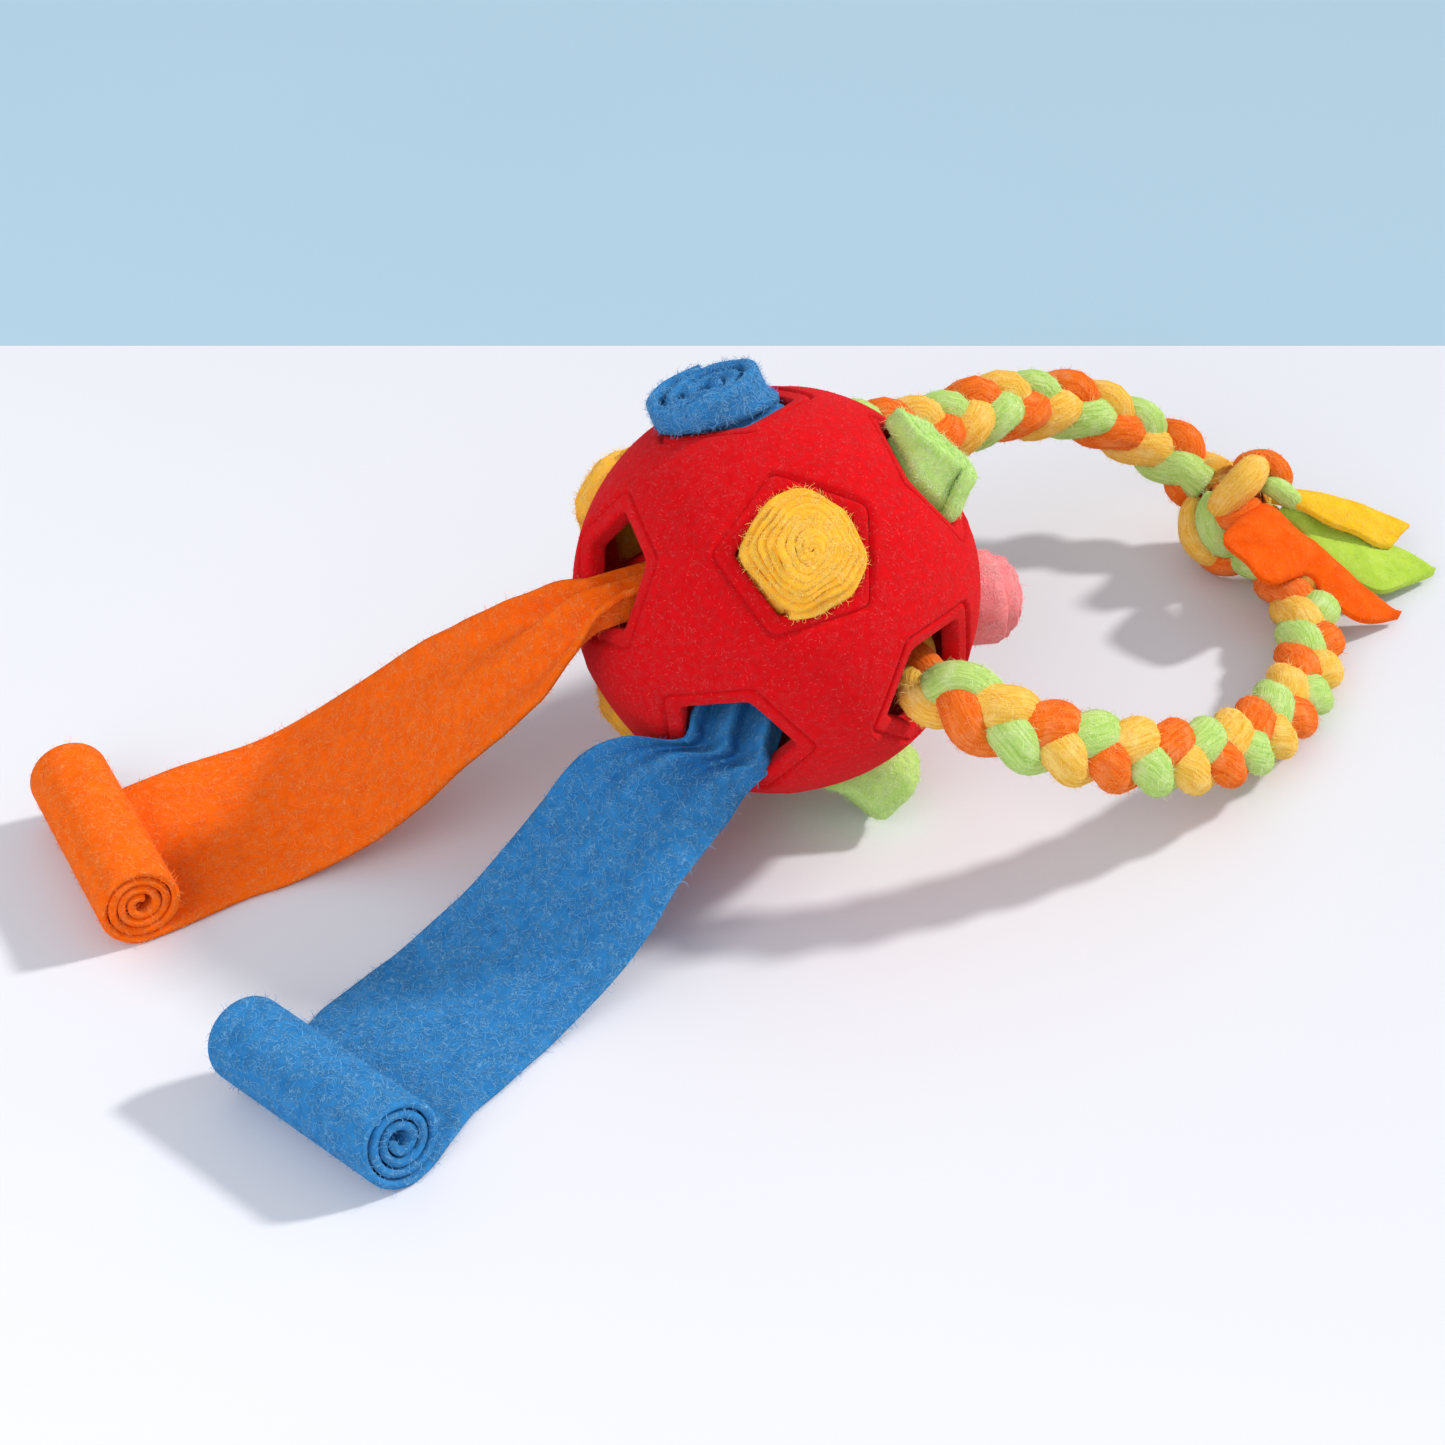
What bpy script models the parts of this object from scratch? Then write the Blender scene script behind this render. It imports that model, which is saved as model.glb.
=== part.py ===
# Treat ball for dogs: a hollow ball with twelve openings, felt strips tucked
# into them and a plaited rope ring through two of them.
# Metres, +Z up. The toy stands on a table at z = 0.

import itertools
import math

import bmesh
import bpy
from mathutils import Euler, Matrix, Vector

# Ball shell
FACE_DISTANCE = 0.0416
FRAME_CORNER = 0.0194
FIELD_DISTANCE = 0.0450
FRAME_EDGE_ANGLE = 21
EDGE_ROUND = 0.0030
EDGE_SEGMENTS = 2
WALL = 0.0040
HOLE_CORNER = 0.0137
GROOVE_CORNER = 0.0182
GROOVE_WIDTH = 0.0009
GROOVE_DEPTH = 0.0006
BALL_TURN_DEGREES = (44.3, -9.2, 17.0)

# Felt
FELT = 0.0018
SEAT_GAP = 0.0003
REST_FLAT = 0.0005

# Tucked rolls
STEM_CLEARANCE = 0.0004
STEM_CORNER_ROUND = 0.0026
STEM_INNER_END = 0.0232
STEM_INNER_END_BY_ROPE = 0.0272
PLATE = 0.0012
PLATE_EMBED = 0.0005
ROLL_CORE = 0.0016
TIGHT_PITCH = 0.0024
LOOSE_PITCH = 0.0032
ROLL_STEPS = 16
PLATE_STEPS = 20

# Pulled-out strips
ORANGE_WIDTH = 0.0500
BLUE_WIDTH = 0.0445
NECK_DROP = 0.0063
PLEAT_DEPTH = 0.0034
NECK_DEPTHS = (0.0, 0.0045, 0.0110, 0.0175)
ORANGE_FOOT = (-0.1493, -0.0312)
ORANGE_SCROLL_TURN = 208.6
BLUE_FOOT = (-0.0918, -0.1087)
BLUE_SCROLL_TURN = 229.6
ORANGE_SCROLL_RADIUS = 0.0090
BLUE_SCROLL_RADIUS = 0.0092
SCROLL_CORE = 0.0016
ORANGE_SCROLL_PITCH = 0.0024
BLUE_SCROLL_PITCH = 0.0030
SCROLL_STEPS = 16
STRIP_STEPS = 3

# Plaited rope ring
ROPE = 0.0138
ROPE_STEP = 0.0180
PATH_STEPS = 8
KNOT_STEPS = 16
TAIL_STEPS = 2
JOINT_GAP = 0.0003
STRAIGHT_END = 0.0020
ROPE_SETTLE = 0.0039
SQUEEZED_ROPE_SHARE = 0.90
KNOT_CENTRE = (0.1202, 0.0900, 0.0140)
KNOT_CORE = 0.0115
KNOT_WRAP_RINGS = (0.0096, 0.0091)
KNOT_WRAP_STEPS = 14
KNOT_WRAP = 0.0051
ROPE_IN_KNOT = 0.0118
TAIL_THICKNESS = 0.0016
TAIL_WIDTH = 0.0125

# The ring's route, hand chosen: plan place and height above the table
ROPE_NEAR_ROUTE = (
    (0.0377, -0.0298, 0.0472),
    (0.0467, -0.0335, 0.0430),
    (0.0587, -0.0330, 0.0375),
    (0.0707, -0.0295, 0.0315),
    (0.0847, -0.0235, 0.0250),
    (0.1017, -0.0115, 0.0173),
    (0.1182, 0.0085, 0.0110),
    (0.1297, 0.0310, 0.0074),
    (0.1337, 0.0520, 0.0072),
    (0.1312, 0.0690, 0.0088),
)
ROPE_FAR_ROUTE = (
    (0.0145, 0.0465, 0.0640),
    (0.0235, 0.0545, 0.0600),
    (0.0330, 0.0635, 0.0555),
    (0.0421, 0.0725, 0.0515),
    (0.0538, 0.0845, 0.0497),
    (0.0650, 0.0948, 0.0443),
    (0.0750, 0.1010, 0.0410),
    (0.0855, 0.1050, 0.0355),
    (0.0966, 0.1075, 0.0279),
    (0.1072, 0.1045, 0.0225),
)
# Tail routes start at the knot and run to the tip
YELLOW_TAIL_ROUTE = (
    (0.1342, 0.0945, 0.0190),
    (0.1417, 0.0970, 0.0180),
    (0.1537, 0.0975, 0.0130),
    (0.1677, 0.0940, 0.0070),
)
GREEN_TAIL_ROUTE = (
    (0.1353, 0.0880, 0.0140),
    (0.1437, 0.0870, 0.0130),
    (0.1567, 0.0830, 0.0080),
    (0.1702, 0.0765, 0.0035),
)
ORANGE_TAIL_ROUTE = (
    (0.1337, 0.0812, 0.0180),
    (0.1422, 0.0765, 0.0152),
    (0.1510, 0.0690, 0.0080),
    (0.1600, 0.0590, 0.0030),
)
# Width of a tail from the knot to its slanting tip
TAIL_WIDTH_SHARES = (0.75, 1.0, 1.0, 0.06)

# Stations of a pulled-out strip between its mouth and the foot of its scroll:
# along and beside the straight line to the foot, as shares of its length,
# height as a share of the mouth's, width as a share of the strip's, and pleat
ORANGE_STATION_SHARES = (
    (0.00, 0.00, 1.00, 0.34, 1.00),
    (0.055, 0.00, 0.975, 0.46, 0.95),
    (0.12, -0.02, 0.87, 0.64, 0.70),
    (0.20, -0.045, 0.72, 0.75, 0.42),
    (0.28, -0.075, 0.58, 0.79, 0.22),
    (0.36, -0.10, 0.44, 0.83, 0.10),
    (0.45, -0.12, 0.28, 0.90, 0.04),
    (0.55, -0.13, 0.14, 0.94, 0.00),
    (0.65, -0.13, 0.045, 0.97, 0.00),
    (0.76, -0.11, 0.0, 1.00, 0.00),
    (0.88, -0.06, 0.0, 1.00, 0.00),
    (1.00, 0.00, 0.0, 1.00, 0.00),
)
BLUE_STATION_SHARES = (
    (0.00, 0.00, 1.00, 0.38, 1.00),
    (0.07, -0.02, 0.95, 0.52, 0.85),
    (0.15, -0.03, 0.84, 0.68, 0.50),
    (0.25, -0.05, 0.64, 0.82, 0.24),
    (0.34, -0.06, 0.42, 0.91, 0.10),
    (0.43, -0.07, 0.22, 0.95, 0.03),
    (0.53, -0.075, 0.08, 0.97, 0.00),
    (0.63, -0.07, 0.0, 0.98, 0.00),
    (0.75, -0.05, 0.0, 0.99, 0.00),
    (0.88, -0.03, 0.0, 1.00, 0.00),
    (1.00, 0.00, 0.0, 1.00, 0.00),
)

COLOURS = {
    "red": (0.62, 0.012, 0.014),
    "yellow": (0.89, 0.47, 0.035),
    "orange": (0.91, 0.13, 0.005),
    "blue": (0.035, 0.22, 0.53),
    "green": (0.33, 0.60, 0.10),
    "pink": (0.68, 0.13, 0.16),
}

# Each roll: the opening it fills, its colour, the radius of its head, how far
# the head stands out, the pitch of its winding, and which way it leans
ROLLS = {
    "roll_centre": {
        "opening": "centre", "colour": "yellow", "radius": 0.0132, "out": 0.0046,
        "pitch": TIGHT_PITCH, "lean": 0.0, "toward": (0, 0, 1), "shift": 0.0,
    },
    "roll_top": {
        "opening": "top", "colour": "blue", "radius": 0.0124, "out": 0.0100,
        "pitch": LOOSE_PITCH, "lean": 10.0, "toward": (-1, 0, 0), "shift": 0.0022,
    },
    "roll_upper_right": {
        "opening": "upper_right", "colour": "green", "radius": 0.0120, "out": 0.0090,
        "pitch": TIGHT_PITCH, "lean": 0.0, "toward": (-0.7, 0, 0.7), "shift": 0.0018,
    },
    "roll_right": {
        "opening": "right", "colour": "pink", "radius": 0.0114, "out": 0.0168,
        "pitch": LOOSE_PITCH, "lean": 22.0, "toward": (0.9, -0.2, 0.35), "shift": 0.0036,
    },
    "roll_upper_left": {
        "opening": "upper_left", "colour": "yellow", "radius": 0.0116, "out": 0.0050,
        "pitch": TIGHT_PITCH, "lean": 8.0, "toward": (-0.8, 0.2, 0.5), "shift": 0.0030,
    },
    "roll_lower_left": {
        "opening": "lower_left", "colour": "yellow", "radius": 0.0112, "out": 0.0042,
        "pitch": TIGHT_PITCH, "lean": 0.0, "toward": (0, 0, -1), "shift": 0.0020,
    },
    "roll_under": {
        "opening": "under", "colour": "green", "radius": 0.0115, "out": 0.0152,
        "pitch": LOOSE_PITCH, "lean": 35.0, "toward": (1, 0.1, 0), "shift": 0.0066,
    },
    "roll_back": {
        "opening": "back", "colour": "orange", "radius": 0.0120, "out": None,
        "pitch": LOOSE_PITCH, "lean": 12.0, "toward": (-0.5, 0, -1), "shift": 0.0020,
    },
}

# Openings: five round the middle one, named clockwise from its top
RING_NAMES = ("top", "upper_right", "lower_right", "front", "left")
OPPOSITE_NAMES = {
    "centre": "back", "top": "under", "upper_right": "lower_left",
    "lower_right": "upper_left", "front": "rear_top", "left": "right",
}
FULL_TURN = math.tau
SIDES = 5
NEIGHBOUR_COSINE = 1 / math.sqrt(SIDES)
UP = Vector((0, 0, 1))


def opening_axes():
    """Unit directions of the twelve openings, turned as the ball lies."""
    turn = Euler([math.radians(a) for a in BALL_TURN_DEGREES]).to_matrix()
    tilt = math.acos(NEIGHBOUR_COSINE)
    axes = {"centre": turn @ UP}
    for step, name in enumerate(RING_NAMES):
        angle = FULL_TURN / 4 - step * FULL_TURN / SIDES
        flat = Vector((math.cos(angle), math.sin(angle), 0))
        axes[name] = turn @ (flat * math.sin(tilt) + UP * math.cos(tilt))
    for name, opposite in OPPOSITE_NAMES.items():
        axes[opposite] = -axes[name]
    return axes


AXES = opening_axes()


def in_plane(vector, axis):
    """The unit direction of a vector within the plane square to an axis."""
    return (vector - axis * vector.dot(axis)).normalized()


def corner_directions(name):
    """In-plane directions from an opening's middle to its five corners."""
    axis = AXES[name]
    near = [a for a in AXES.values() if abs(a.dot(axis) - NEIGHBOUR_COSINE) < NEIGHBOUR_COSINE / 2]
    return [in_plane(a, axis) for a in near]


def opening_turn(name):
    """Rotation whose Z is the opening's axis and whose Y meets a corner."""
    axis = AXES[name]
    y_axis = corner_directions(name)[0]
    x_axis = y_axis.cross(axis)
    return Matrix((x_axis, y_axis, axis)).transposed()


def clear_scene():
    for item in list(bpy.data.objects):
        bpy.data.objects.remove(item, do_unlink=True)


def new_collection(name):
    collection = bpy.data.collections.new(name)
    bpy.context.scene.collection.children.link(collection)
    return collection


def new_material(name, colour, roughness):
    material = bpy.data.materials.new(name)
    material.use_nodes = True
    shader = material.node_tree.nodes["Principled BSDF"]
    shader.inputs["Base Color"].default_value = (*colour, 1.0)
    shader.inputs["Roughness"].default_value = roughness
    shader.inputs["Metallic"].default_value = 0.0
    return material


def add_object(name, mesh, collection, parent=None, matrix=None):
    item = bpy.data.objects.new(name, mesh)
    collection.objects.link(item)
    item.parent = parent
    if matrix is not None:
        item.matrix_basis = matrix
    return item


def mesh_from(bm, name):
    bmesh.ops.recalc_face_normals(bm, faces=bm.faces)
    mesh = bpy.data.meshes.new(name)
    bm.to_mesh(mesh)
    bm.free()
    return mesh


def curve_to_mesh(curve, name):
    """Turn a curve into one welded mesh and drop the curve."""
    holder = bpy.data.objects.new(name, curve)
    bpy.context.scene.collection.objects.link(holder)
    bpy.context.view_layer.update()
    evaluated = holder.evaluated_get(bpy.context.evaluated_depsgraph_get())
    mesh = bpy.data.meshes.new_from_object(evaluated)
    bpy.data.objects.remove(holder, do_unlink=True)
    bm = bmesh.new()
    bm.from_mesh(mesh)
    bmesh.ops.remove_doubles(bm, verts=bm.verts, dist=SEAT_GAP / 30)
    bmesh.ops.recalc_face_normals(bm, faces=bm.faces)
    bm.to_mesh(mesh)
    bm.free()
    mesh.name = name
    return mesh


def outline_mesh(name, outlines, thickness):
    """A flat piece from closed outlines, centred on z = 0."""
    curve = bpy.data.curves.new(name, "CURVE")
    curve.dimensions = "2D"
    curve.fill_mode = "BOTH"
    curve.extrude = thickness / 2
    for points in outlines:
        spline = curve.splines.new("POLY")
        spline.points.add(len(points) - 1)
        for slot, (x, y) in zip(spline.points, points):
            slot.co = (x, y, 0, 1)
        spline.use_cyclic_u = True
    return curve_to_mesh(curve, name)


def tube_mesh(name, points, diameter, resolution):
    """A round bar along points, with closed ends."""
    curve = bpy.data.curves.new(name, "CURVE")
    curve.dimensions = "3D"
    curve.bevel_depth = diameter / 2
    curve.bevel_resolution = resolution
    curve.use_fill_caps = True
    spline = curve.splines.new("POLY")
    spline.points.add(len(points) - 1)
    for slot, point in zip(spline.points, points):
        slot.co = (*point, 1)
    return curve_to_mesh(curve, name)


def add_boolean(item, other, operation):
    modifier = item.modifiers.new(f"{operation.lower()}_{other.name}", "BOOLEAN")
    modifier.operation = operation
    modifier.solver = "EXACT"
    modifier.object = other
    return modifier


def hide_guide(item):
    item.hide_render = True
    item.display_type = "WIRE"


def smooth_path(points, count):
    """Points on a Catmull-Rom curve, count of them on each span."""
    ends = [points[0] * 2 - points[1], *points, points[-1] * 2 - points[-2]]
    path = []
    for first, start, stop, last in zip(ends, ends[1:], ends[2:], ends[3:]):
        for step in range(count):
            t = step / count
            bend = (first * -1 + start * 3 - stop * 3 + last) * t ** 3
            swing = (first * 2 - start * 5 + stop * 4 - last) * t ** 2
            run = (stop - first) * t
            path.append((start * 2 + run + swing + bend) / 2)
    path.append(points[-1])
    return path


def spread(path, spacing):
    """Evenly spaced points along a fine path, ends kept."""
    total = sum((b - a).length for a, b in zip(path, path[1:]))
    count = max(2, round(total / spacing))
    marks = [total * i / count for i in range(1, count)]
    points = [path[0]]
    walked = 0.0
    for a, b in zip(path, path[1:]):
        span = (b - a).length
        while marks and walked + span >= marks[0]:
            points.append(a.lerp(b, (marks.pop(0) - walked) / span))
        walked += span
    points.append(path[-1])
    return points


def lean_vector(roll):
    """The direction a roll's head leans in, from its opening's axis."""
    axis = AXES[roll["opening"]]
    side = in_plane(Vector(roll["toward"]), axis) if roll["lean"] or roll["shift"] else axis.orthogonal()
    angle = math.radians(roll["lean"])
    return axis * math.cos(angle) + side * math.sin(angle), side


def rim_drop(roll):
    """How far the lowest point of a roll's wound end lies below its middle."""
    direction, _ = lean_vector(roll)
    turn = opening_turn(roll["opening"])
    tilt = turn @ UP.rotation_difference(turn.transposed() @ direction).to_matrix()
    points = spiral_outline(roll["radius"], ROLL_CORE, roll["pitch"], FELT, ROLL_STEPS)
    return -min((tilt @ Vector((x, y, 0))).z for x, y in points)


def head_end(roll, out):
    """Middle of a head's end face, from the ball's centre."""
    direction, side = lean_vector(roll)
    return AXES[roll["opening"]] * FACE_DISTANCE + side * roll["shift"] + direction * out


def ball_height():
    """Height of the ball's centre: it stands on the flat of the roll under it."""
    roll = ROLLS["roll_under"]
    return rim_drop(roll) - head_end(roll, roll["out"]).z - REST_FLAT


def reach_table(roll, height):
    """How far a roll has to stand out for its rim to meet the table."""
    direction, _ = lean_vector(roll)
    drop = height + REST_FLAT - rim_drop(roll)
    return (drop + head_end(roll, 0.0).z) / -direction.z


def pentagon_prism(bm, corner, low, high):
    """A five-sided prism round Z with one corner toward +Y."""
    ring = bmesh.ops.create_cone(
        bm, segments=SIDES, radius1=corner, radius2=corner, depth=high - low, cap_ends=True
    )
    bmesh.ops.translate(bm, verts=ring["verts"], vec=UP * (low + high) / 2)
    return ring["verts"]


def field_directions():
    """Middles of the twenty fields, each between three openings."""
    middles = []
    for first, second, third in itertools.combinations(AXES.values(), 3):
        nearest = min(first.dot(second), second.dot(third), third.dot(first))
        if nearest > NEIGHBOUR_COSINE / 2:
            middles.append((first + second + third).normalized())
    return middles


def ball_form(share):
    """Flat frames and low domed fields, drawn in by a share."""
    bm = bmesh.new()
    for name, axis in AXES.items():
        for side in corner_directions(name):
            bm.verts.new((axis * FACE_DISTANCE + side * FRAME_CORNER) * share)
    for direction in field_directions():
        bm.verts.new(direction * FIELD_DISTANCE * share)
    bmesh.ops.convex_hull(bm, input=bm.verts)
    return bm


def ball_mesh():
    """The many-faced outer form of the ball: flat frames and fields between."""
    bm = ball_form(1.0)
    flat = math.radians(1)
    bmesh.ops.dissolve_limit(bm, angle_limit=flat, verts=bm.verts, edges=bm.edges)
    return mesh_from(bm, "ball_shell")


def cavity_mesh():
    """The same form set in by the wall."""
    return mesh_from(ball_form((FACE_DISTANCE - WALL) / FACE_DISTANCE), "cavity")


def holes_mesh():
    bm = bmesh.new()
    for name in AXES:
        verts = pentagon_prism(bm, HOLE_CORNER, FACE_DISTANCE - WALL * 2, FACE_DISTANCE + WALL)
        bmesh.ops.rotate(bm, verts=verts, matrix=opening_turn(name))
    return mesh_from(bm, "holes")


def grooves_mesh():
    """Five-sided rings that sink a thin line into every frame."""
    outlines = []
    for corner in (GROOVE_CORNER, GROOVE_CORNER - GROOVE_WIDTH / math.cos(math.pi / SIDES)):
        angles = [FULL_TURN / 4 + i * FULL_TURN / SIDES for i in range(SIDES)]
        outlines.append([(corner * math.cos(a), corner * math.sin(a)) for a in angles])
    ring = outline_mesh("groove_ring", outlines, GROOVE_DEPTH * 2)
    bm = bmesh.new()
    for name in AXES:
        before = set(bm.verts)
        bm.from_mesh(ring)
        verts = [v for v in bm.verts if v not in before]
        bmesh.ops.translate(bm, verts=verts, vec=UP * FACE_DISTANCE)
        bmesh.ops.rotate(bm, verts=verts, matrix=opening_turn(name))
    return mesh_from(bm, "grooves")


def make_ball(parts, guides, toy):
    ball = add_object("ball_shell", ball_mesh(), parts, toy, Matrix.Translation(BALL_CENTRE))
    ball.data.materials.append(new_material("flocked_rubber_red", COLOURS["red"], 0.9))
    rounding = ball.modifiers.new("rounding", "BEVEL")
    rounding.width = EDGE_ROUND
    rounding.segments = EDGE_SEGMENTS
    rounding.limit_method = "ANGLE"
    rounding.angle_limit = math.radians(FRAME_EDGE_ANGLE)
    for mesh in (cavity_mesh(), holes_mesh(), grooves_mesh()):
        guide = add_object(mesh.name, mesh, guides, ball)
        hide_guide(guide)
        add_boolean(ball, guide, "DIFFERENCE")
    return ball


def spiral_outline(outer, core, pitch, thickness, steps_per_turn):
    """Both sides of a wound strip seen from its end, outside end first."""
    turns = (outer - core - thickness) / pitch
    steps = round(turns * steps_per_turn)
    outside = []
    inside = []
    for i in range(steps + 1):
        angle = FULL_TURN * turns * i / steps
        middle = outer - thickness / 2 - pitch * turns * i / steps
        for side, points in ((1, outside), (-1, inside)):
            r = middle + side * thickness / 2
            points.append((r * math.cos(angle), r * math.sin(angle)))
    return outside + inside[::-1]


BALL_HEIGHT = ball_height()
BALL_CENTRE = UP * BALL_HEIGHT
ROLLS["roll_back"]["out"] = reach_table(ROLLS["roll_back"], BALL_HEIGHT)


def print_winding_gap(name, radius, pitch):
    """Measure and print the least gap between neighbouring turns of a winding."""
    points = spiral_outline(radius, ROLL_CORE, pitch, FELT, ROLL_STEPS)
    half = len(points) // 2
    outside = points[:half]
    inside = points[half:][::-1]
    gap = min(
        math.dist(inside[i], outside[j])
        for i in range(half)
        for j in range(i + ROLL_STEPS // 2, half)
    )
    print(f"{name}: least gap between turns {gap * 1000:.2f} mm")


def head_mesh(roll, turn):
    """The wound head of a roll, cut square at its end and flat on its plate."""
    direction, side = lean_vector(roll)
    local_direction = turn.transposed() @ direction
    local_shift = turn.transposed() @ side * roll["shift"]
    points = spiral_outline(roll["radius"], ROLL_CORE, roll["pitch"], FELT, ROLL_STEPS)
    mesh = outline_mesh("head", [points], roll["out"])
    tilt = UP.rotation_difference(local_direction).to_matrix()
    base = SEAT_GAP + PLATE_EMBED
    bm = bmesh.new()
    bm.from_mesh(mesh)
    for vert in bm.verts:
        at_end = vert.co.z > 0
        flat = tilt @ Vector((vert.co.x, vert.co.y, 0)) + local_shift
        if at_end:
            vert.co = flat + local_direction * roll["out"]
        else:
            vert.co = flat + local_direction * ((base - flat.z) / local_direction.z)
    return mesh_from(bm, "head"), local_shift


def make_roll(name, roll, parts, guides, toy, floor):
    turn = opening_turn(roll["opening"])
    place = Matrix.Translation(BALL_CENTRE + AXES[roll["opening"]] * FACE_DISTANCE) @ turn.to_4x4()
    by_rope = roll["opening"] in ("upper_right", "right")
    inner_end = STEM_INNER_END_BY_ROPE if by_rope else STEM_INNER_END
    head, shift = head_mesh(roll, turn)
    print_winding_gap(name, roll["radius"], roll["pitch"])

    bm = bmesh.new()
    corner = HOLE_CORNER - STEM_CLEARANCE / math.cos(math.pi / SIDES)
    pentagon_prism(bm, corner, inner_end - FACE_DISTANCE, SEAT_GAP + PLATE_EMBED)
    upright = [e for e in bm.edges if abs(e.verts[0].co.z - e.verts[1].co.z) > PLATE]
    bmesh.ops.bevel(bm, geom=upright, offset=STEM_CORNER_ROUND, segments=2, profile=0.5, affect="EDGES")
    stem = add_object(name, mesh_from(bm, name), parts, toy, place)
    stem.data.materials.append(new_material(f"{name}_felt", COLOURS[roll["colour"]], 0.95))

    bm = bmesh.new()
    ring = roll["radius"] - FELT / 2
    disc = bmesh.ops.create_cone(
        bm, segments=PLATE_STEPS, radius1=ring, radius2=ring, depth=PLATE, cap_ends=True
    )
    bmesh.ops.translate(bm, verts=disc["verts"], vec=shift + UP * (SEAT_GAP + PLATE / 2))
    plate = add_object(f"{name}_plate", mesh_from(bm, "plate"), guides, toy, place)
    winding = add_object(f"{name}_winding", head, guides, toy, place)
    for guide in (plate, winding):
        hide_guide(guide)
        add_boolean(stem, guide, "UNION")
    if roll["opening"] in ("under", "back"):
        add_boolean(stem, floor, "DIFFERENCE")
    return stem


def loft_mesh(name, stations, thickness, folds):
    """A cloth strip: one closed section at each station, joined in turn.

    A station is its centre, the directions across it and out of its upper
    side, half its width and the depth of its pleats.
    """
    bm = bmesh.new()
    rows = []
    for centre, across, normal, half, pleat in stations:
        upper = []
        lower = []
        for i in range(folds + 1):
            place = centre + across * half * (2 * i / folds - 1)
            wave = -pleat if i % 2 else pleat
            upper.append(bm.verts.new(place + normal * (wave + thickness / 2)))
            lower.append(bm.verts.new(place + normal * (wave - thickness / 2)))
        rows.append(upper + lower[::-1])
    for row, following in zip(rows, rows[1:]):
        count = len(row)
        for i in range(count):
            j = (i + 1) % count
            bm.faces.new((row[i], row[j], following[j], following[i]))
    for row in (rows[0], rows[-1]):
        for i in range(folds):
            last = len(row) - 1
            bm.faces.new((row[i], row[i + 1], row[last - i - 1], row[last - i]))
    return mesh_from(bm, name)


def strip_mouth(opening):
    """Where a strip lies on its opening's lowest side, and the way across it."""
    axis = AXES[opening]
    rise = max(corner_directions(opening), key=lambda side: side.z)
    level = rise.cross(axis)
    middle = BALL_CENTRE + axis * FACE_DISTANCE - rise * NECK_DROP
    return axis, level, rise, middle


def neck_stations(opening, width, share):
    """The gathered inner end of a strip, from its mouth into the ball."""
    axis, level, rise, middle = strip_mouth(opening)
    half = width * share / 2
    inset = SEAT_GAP
    stations = []
    for depth in NECK_DEPTHS:
        centre = middle - axis * (depth + inset) + rise * NECK_DROP * depth / NECK_DEPTHS[-1]
        stations.append((centre, level, rise, half, PLEAT_DEPTH))
    return stations


def run_stations(opening, width, shares, foot, turn_degrees, radius, pitch):
    """The free part of a strip: gathered at the mouth, flat, then wound up."""
    axis, level, rise, middle = strip_mouth(opening)
    angle = math.radians(turn_degrees)
    onward = Vector((math.cos(angle), math.sin(angle), 0))
    end = Vector((*foot, FELT / 2))
    line = Vector((end.x - middle.x, end.y - middle.y, 0))
    beside = UP.cross(line)
    side = onward.cross(UP)
    if side.dot(level) < 0:
        side = -side
    places = []
    for along, off, lift, wide, pleat in shares:
        height = FELT / 2 + (middle.z - FELT / 2) * lift
        ground = Vector((middle.x, middle.y, 0)) + line * along + beside * off
        places.append((ground + UP * height, wide, pleat, along))
    route = smooth_path([p[0] for p in places], STRIP_STEPS)
    stations = []
    for i, point in enumerate(route):
        spot = i / STRIP_STEPS
        low = min(int(spot), len(places) - 2)
        mix = spot - low
        wide = places[low][1] * (1 - mix) + places[low + 1][1] * mix
        pleat = places[low][2] * (1 - mix) + places[low + 1][2] * mix
        along = places[low][3] * (1 - mix) + places[low + 1][3] * mix
        ease = min(1.0, along * 4)
        across = level.lerp(side, ease).normalized()
        ahead = route[min(i + 1, len(route) - 1)] - route[max(i - 1, 0)]
        normal = across.cross(ahead).normalized()
        if normal.dot(rise + UP) < 0:
            normal = -normal
        if i == 0:
            normal = rise
        across = in_plane(across, normal)
        point = Vector((point.x, point.y, max(point.z, FELT / 2)))
        stations.append((point, across, normal, width * wide / 2, PLEAT_DEPTH * pleat))
    line_radius = radius - FELT / 2
    hub = end + UP * line_radius
    turns = (radius - SCROLL_CORE - FELT) / pitch
    steps = round(turns * SCROLL_STEPS)
    for i in range(1, steps + 1):
        around = FULL_TURN * turns * i / steps
        reach = line_radius - pitch * turns * i / steps
        outward = onward * math.sin(around) - UP * math.cos(around)
        stations.append((hub + outward * reach, side, -outward, width / 2, 0.0))
    return stations


def moved(stations, origin):
    return [(s[0] - origin, *s[1:]) for s in stations]


def make_strip(name, opening, colour, width, shares, foot, turn, radius, pitch, parts, toy):
    axis, level, rise, middle = strip_mouth(opening)
    felt = new_material(f"{name}_felt", COLOURS[colour], 0.95)
    neck = moved(neck_stations(opening, width, shares[0][3]), middle)
    neck_item = add_object(
        f"{name}_neck", loft_mesh(f"{name}_neck", neck, FELT, 4), parts, toy, Matrix.Translation(middle)
    )
    hinge = middle + rise * (PLEAT_DEPTH + FELT / 2)
    run = moved(run_stations(opening, width, shares, foot, turn, radius, pitch), hinge)
    run_item = add_object(name, loft_mesh(name, run, FELT, 4), parts, toy, Matrix.Translation(hinge))
    print_winding_gap(name, radius, pitch)
    for item in (neck_item, run_item):
        item.data.materials.append(felt)
    return run_item


def rope_pivot():
    """The middle of the line the rope takes between its two mouths, and its ends."""
    ends = []
    for name in ("lower_right", "rear_top"):
        axis = AXES[name]
        ends.append(BALL_CENTRE + axis * FACE_DISTANCE - in_plane(UP, axis) * ROPE_SETTLE)
    return (ends[0] + ends[1]) / 2, *ends


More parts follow.
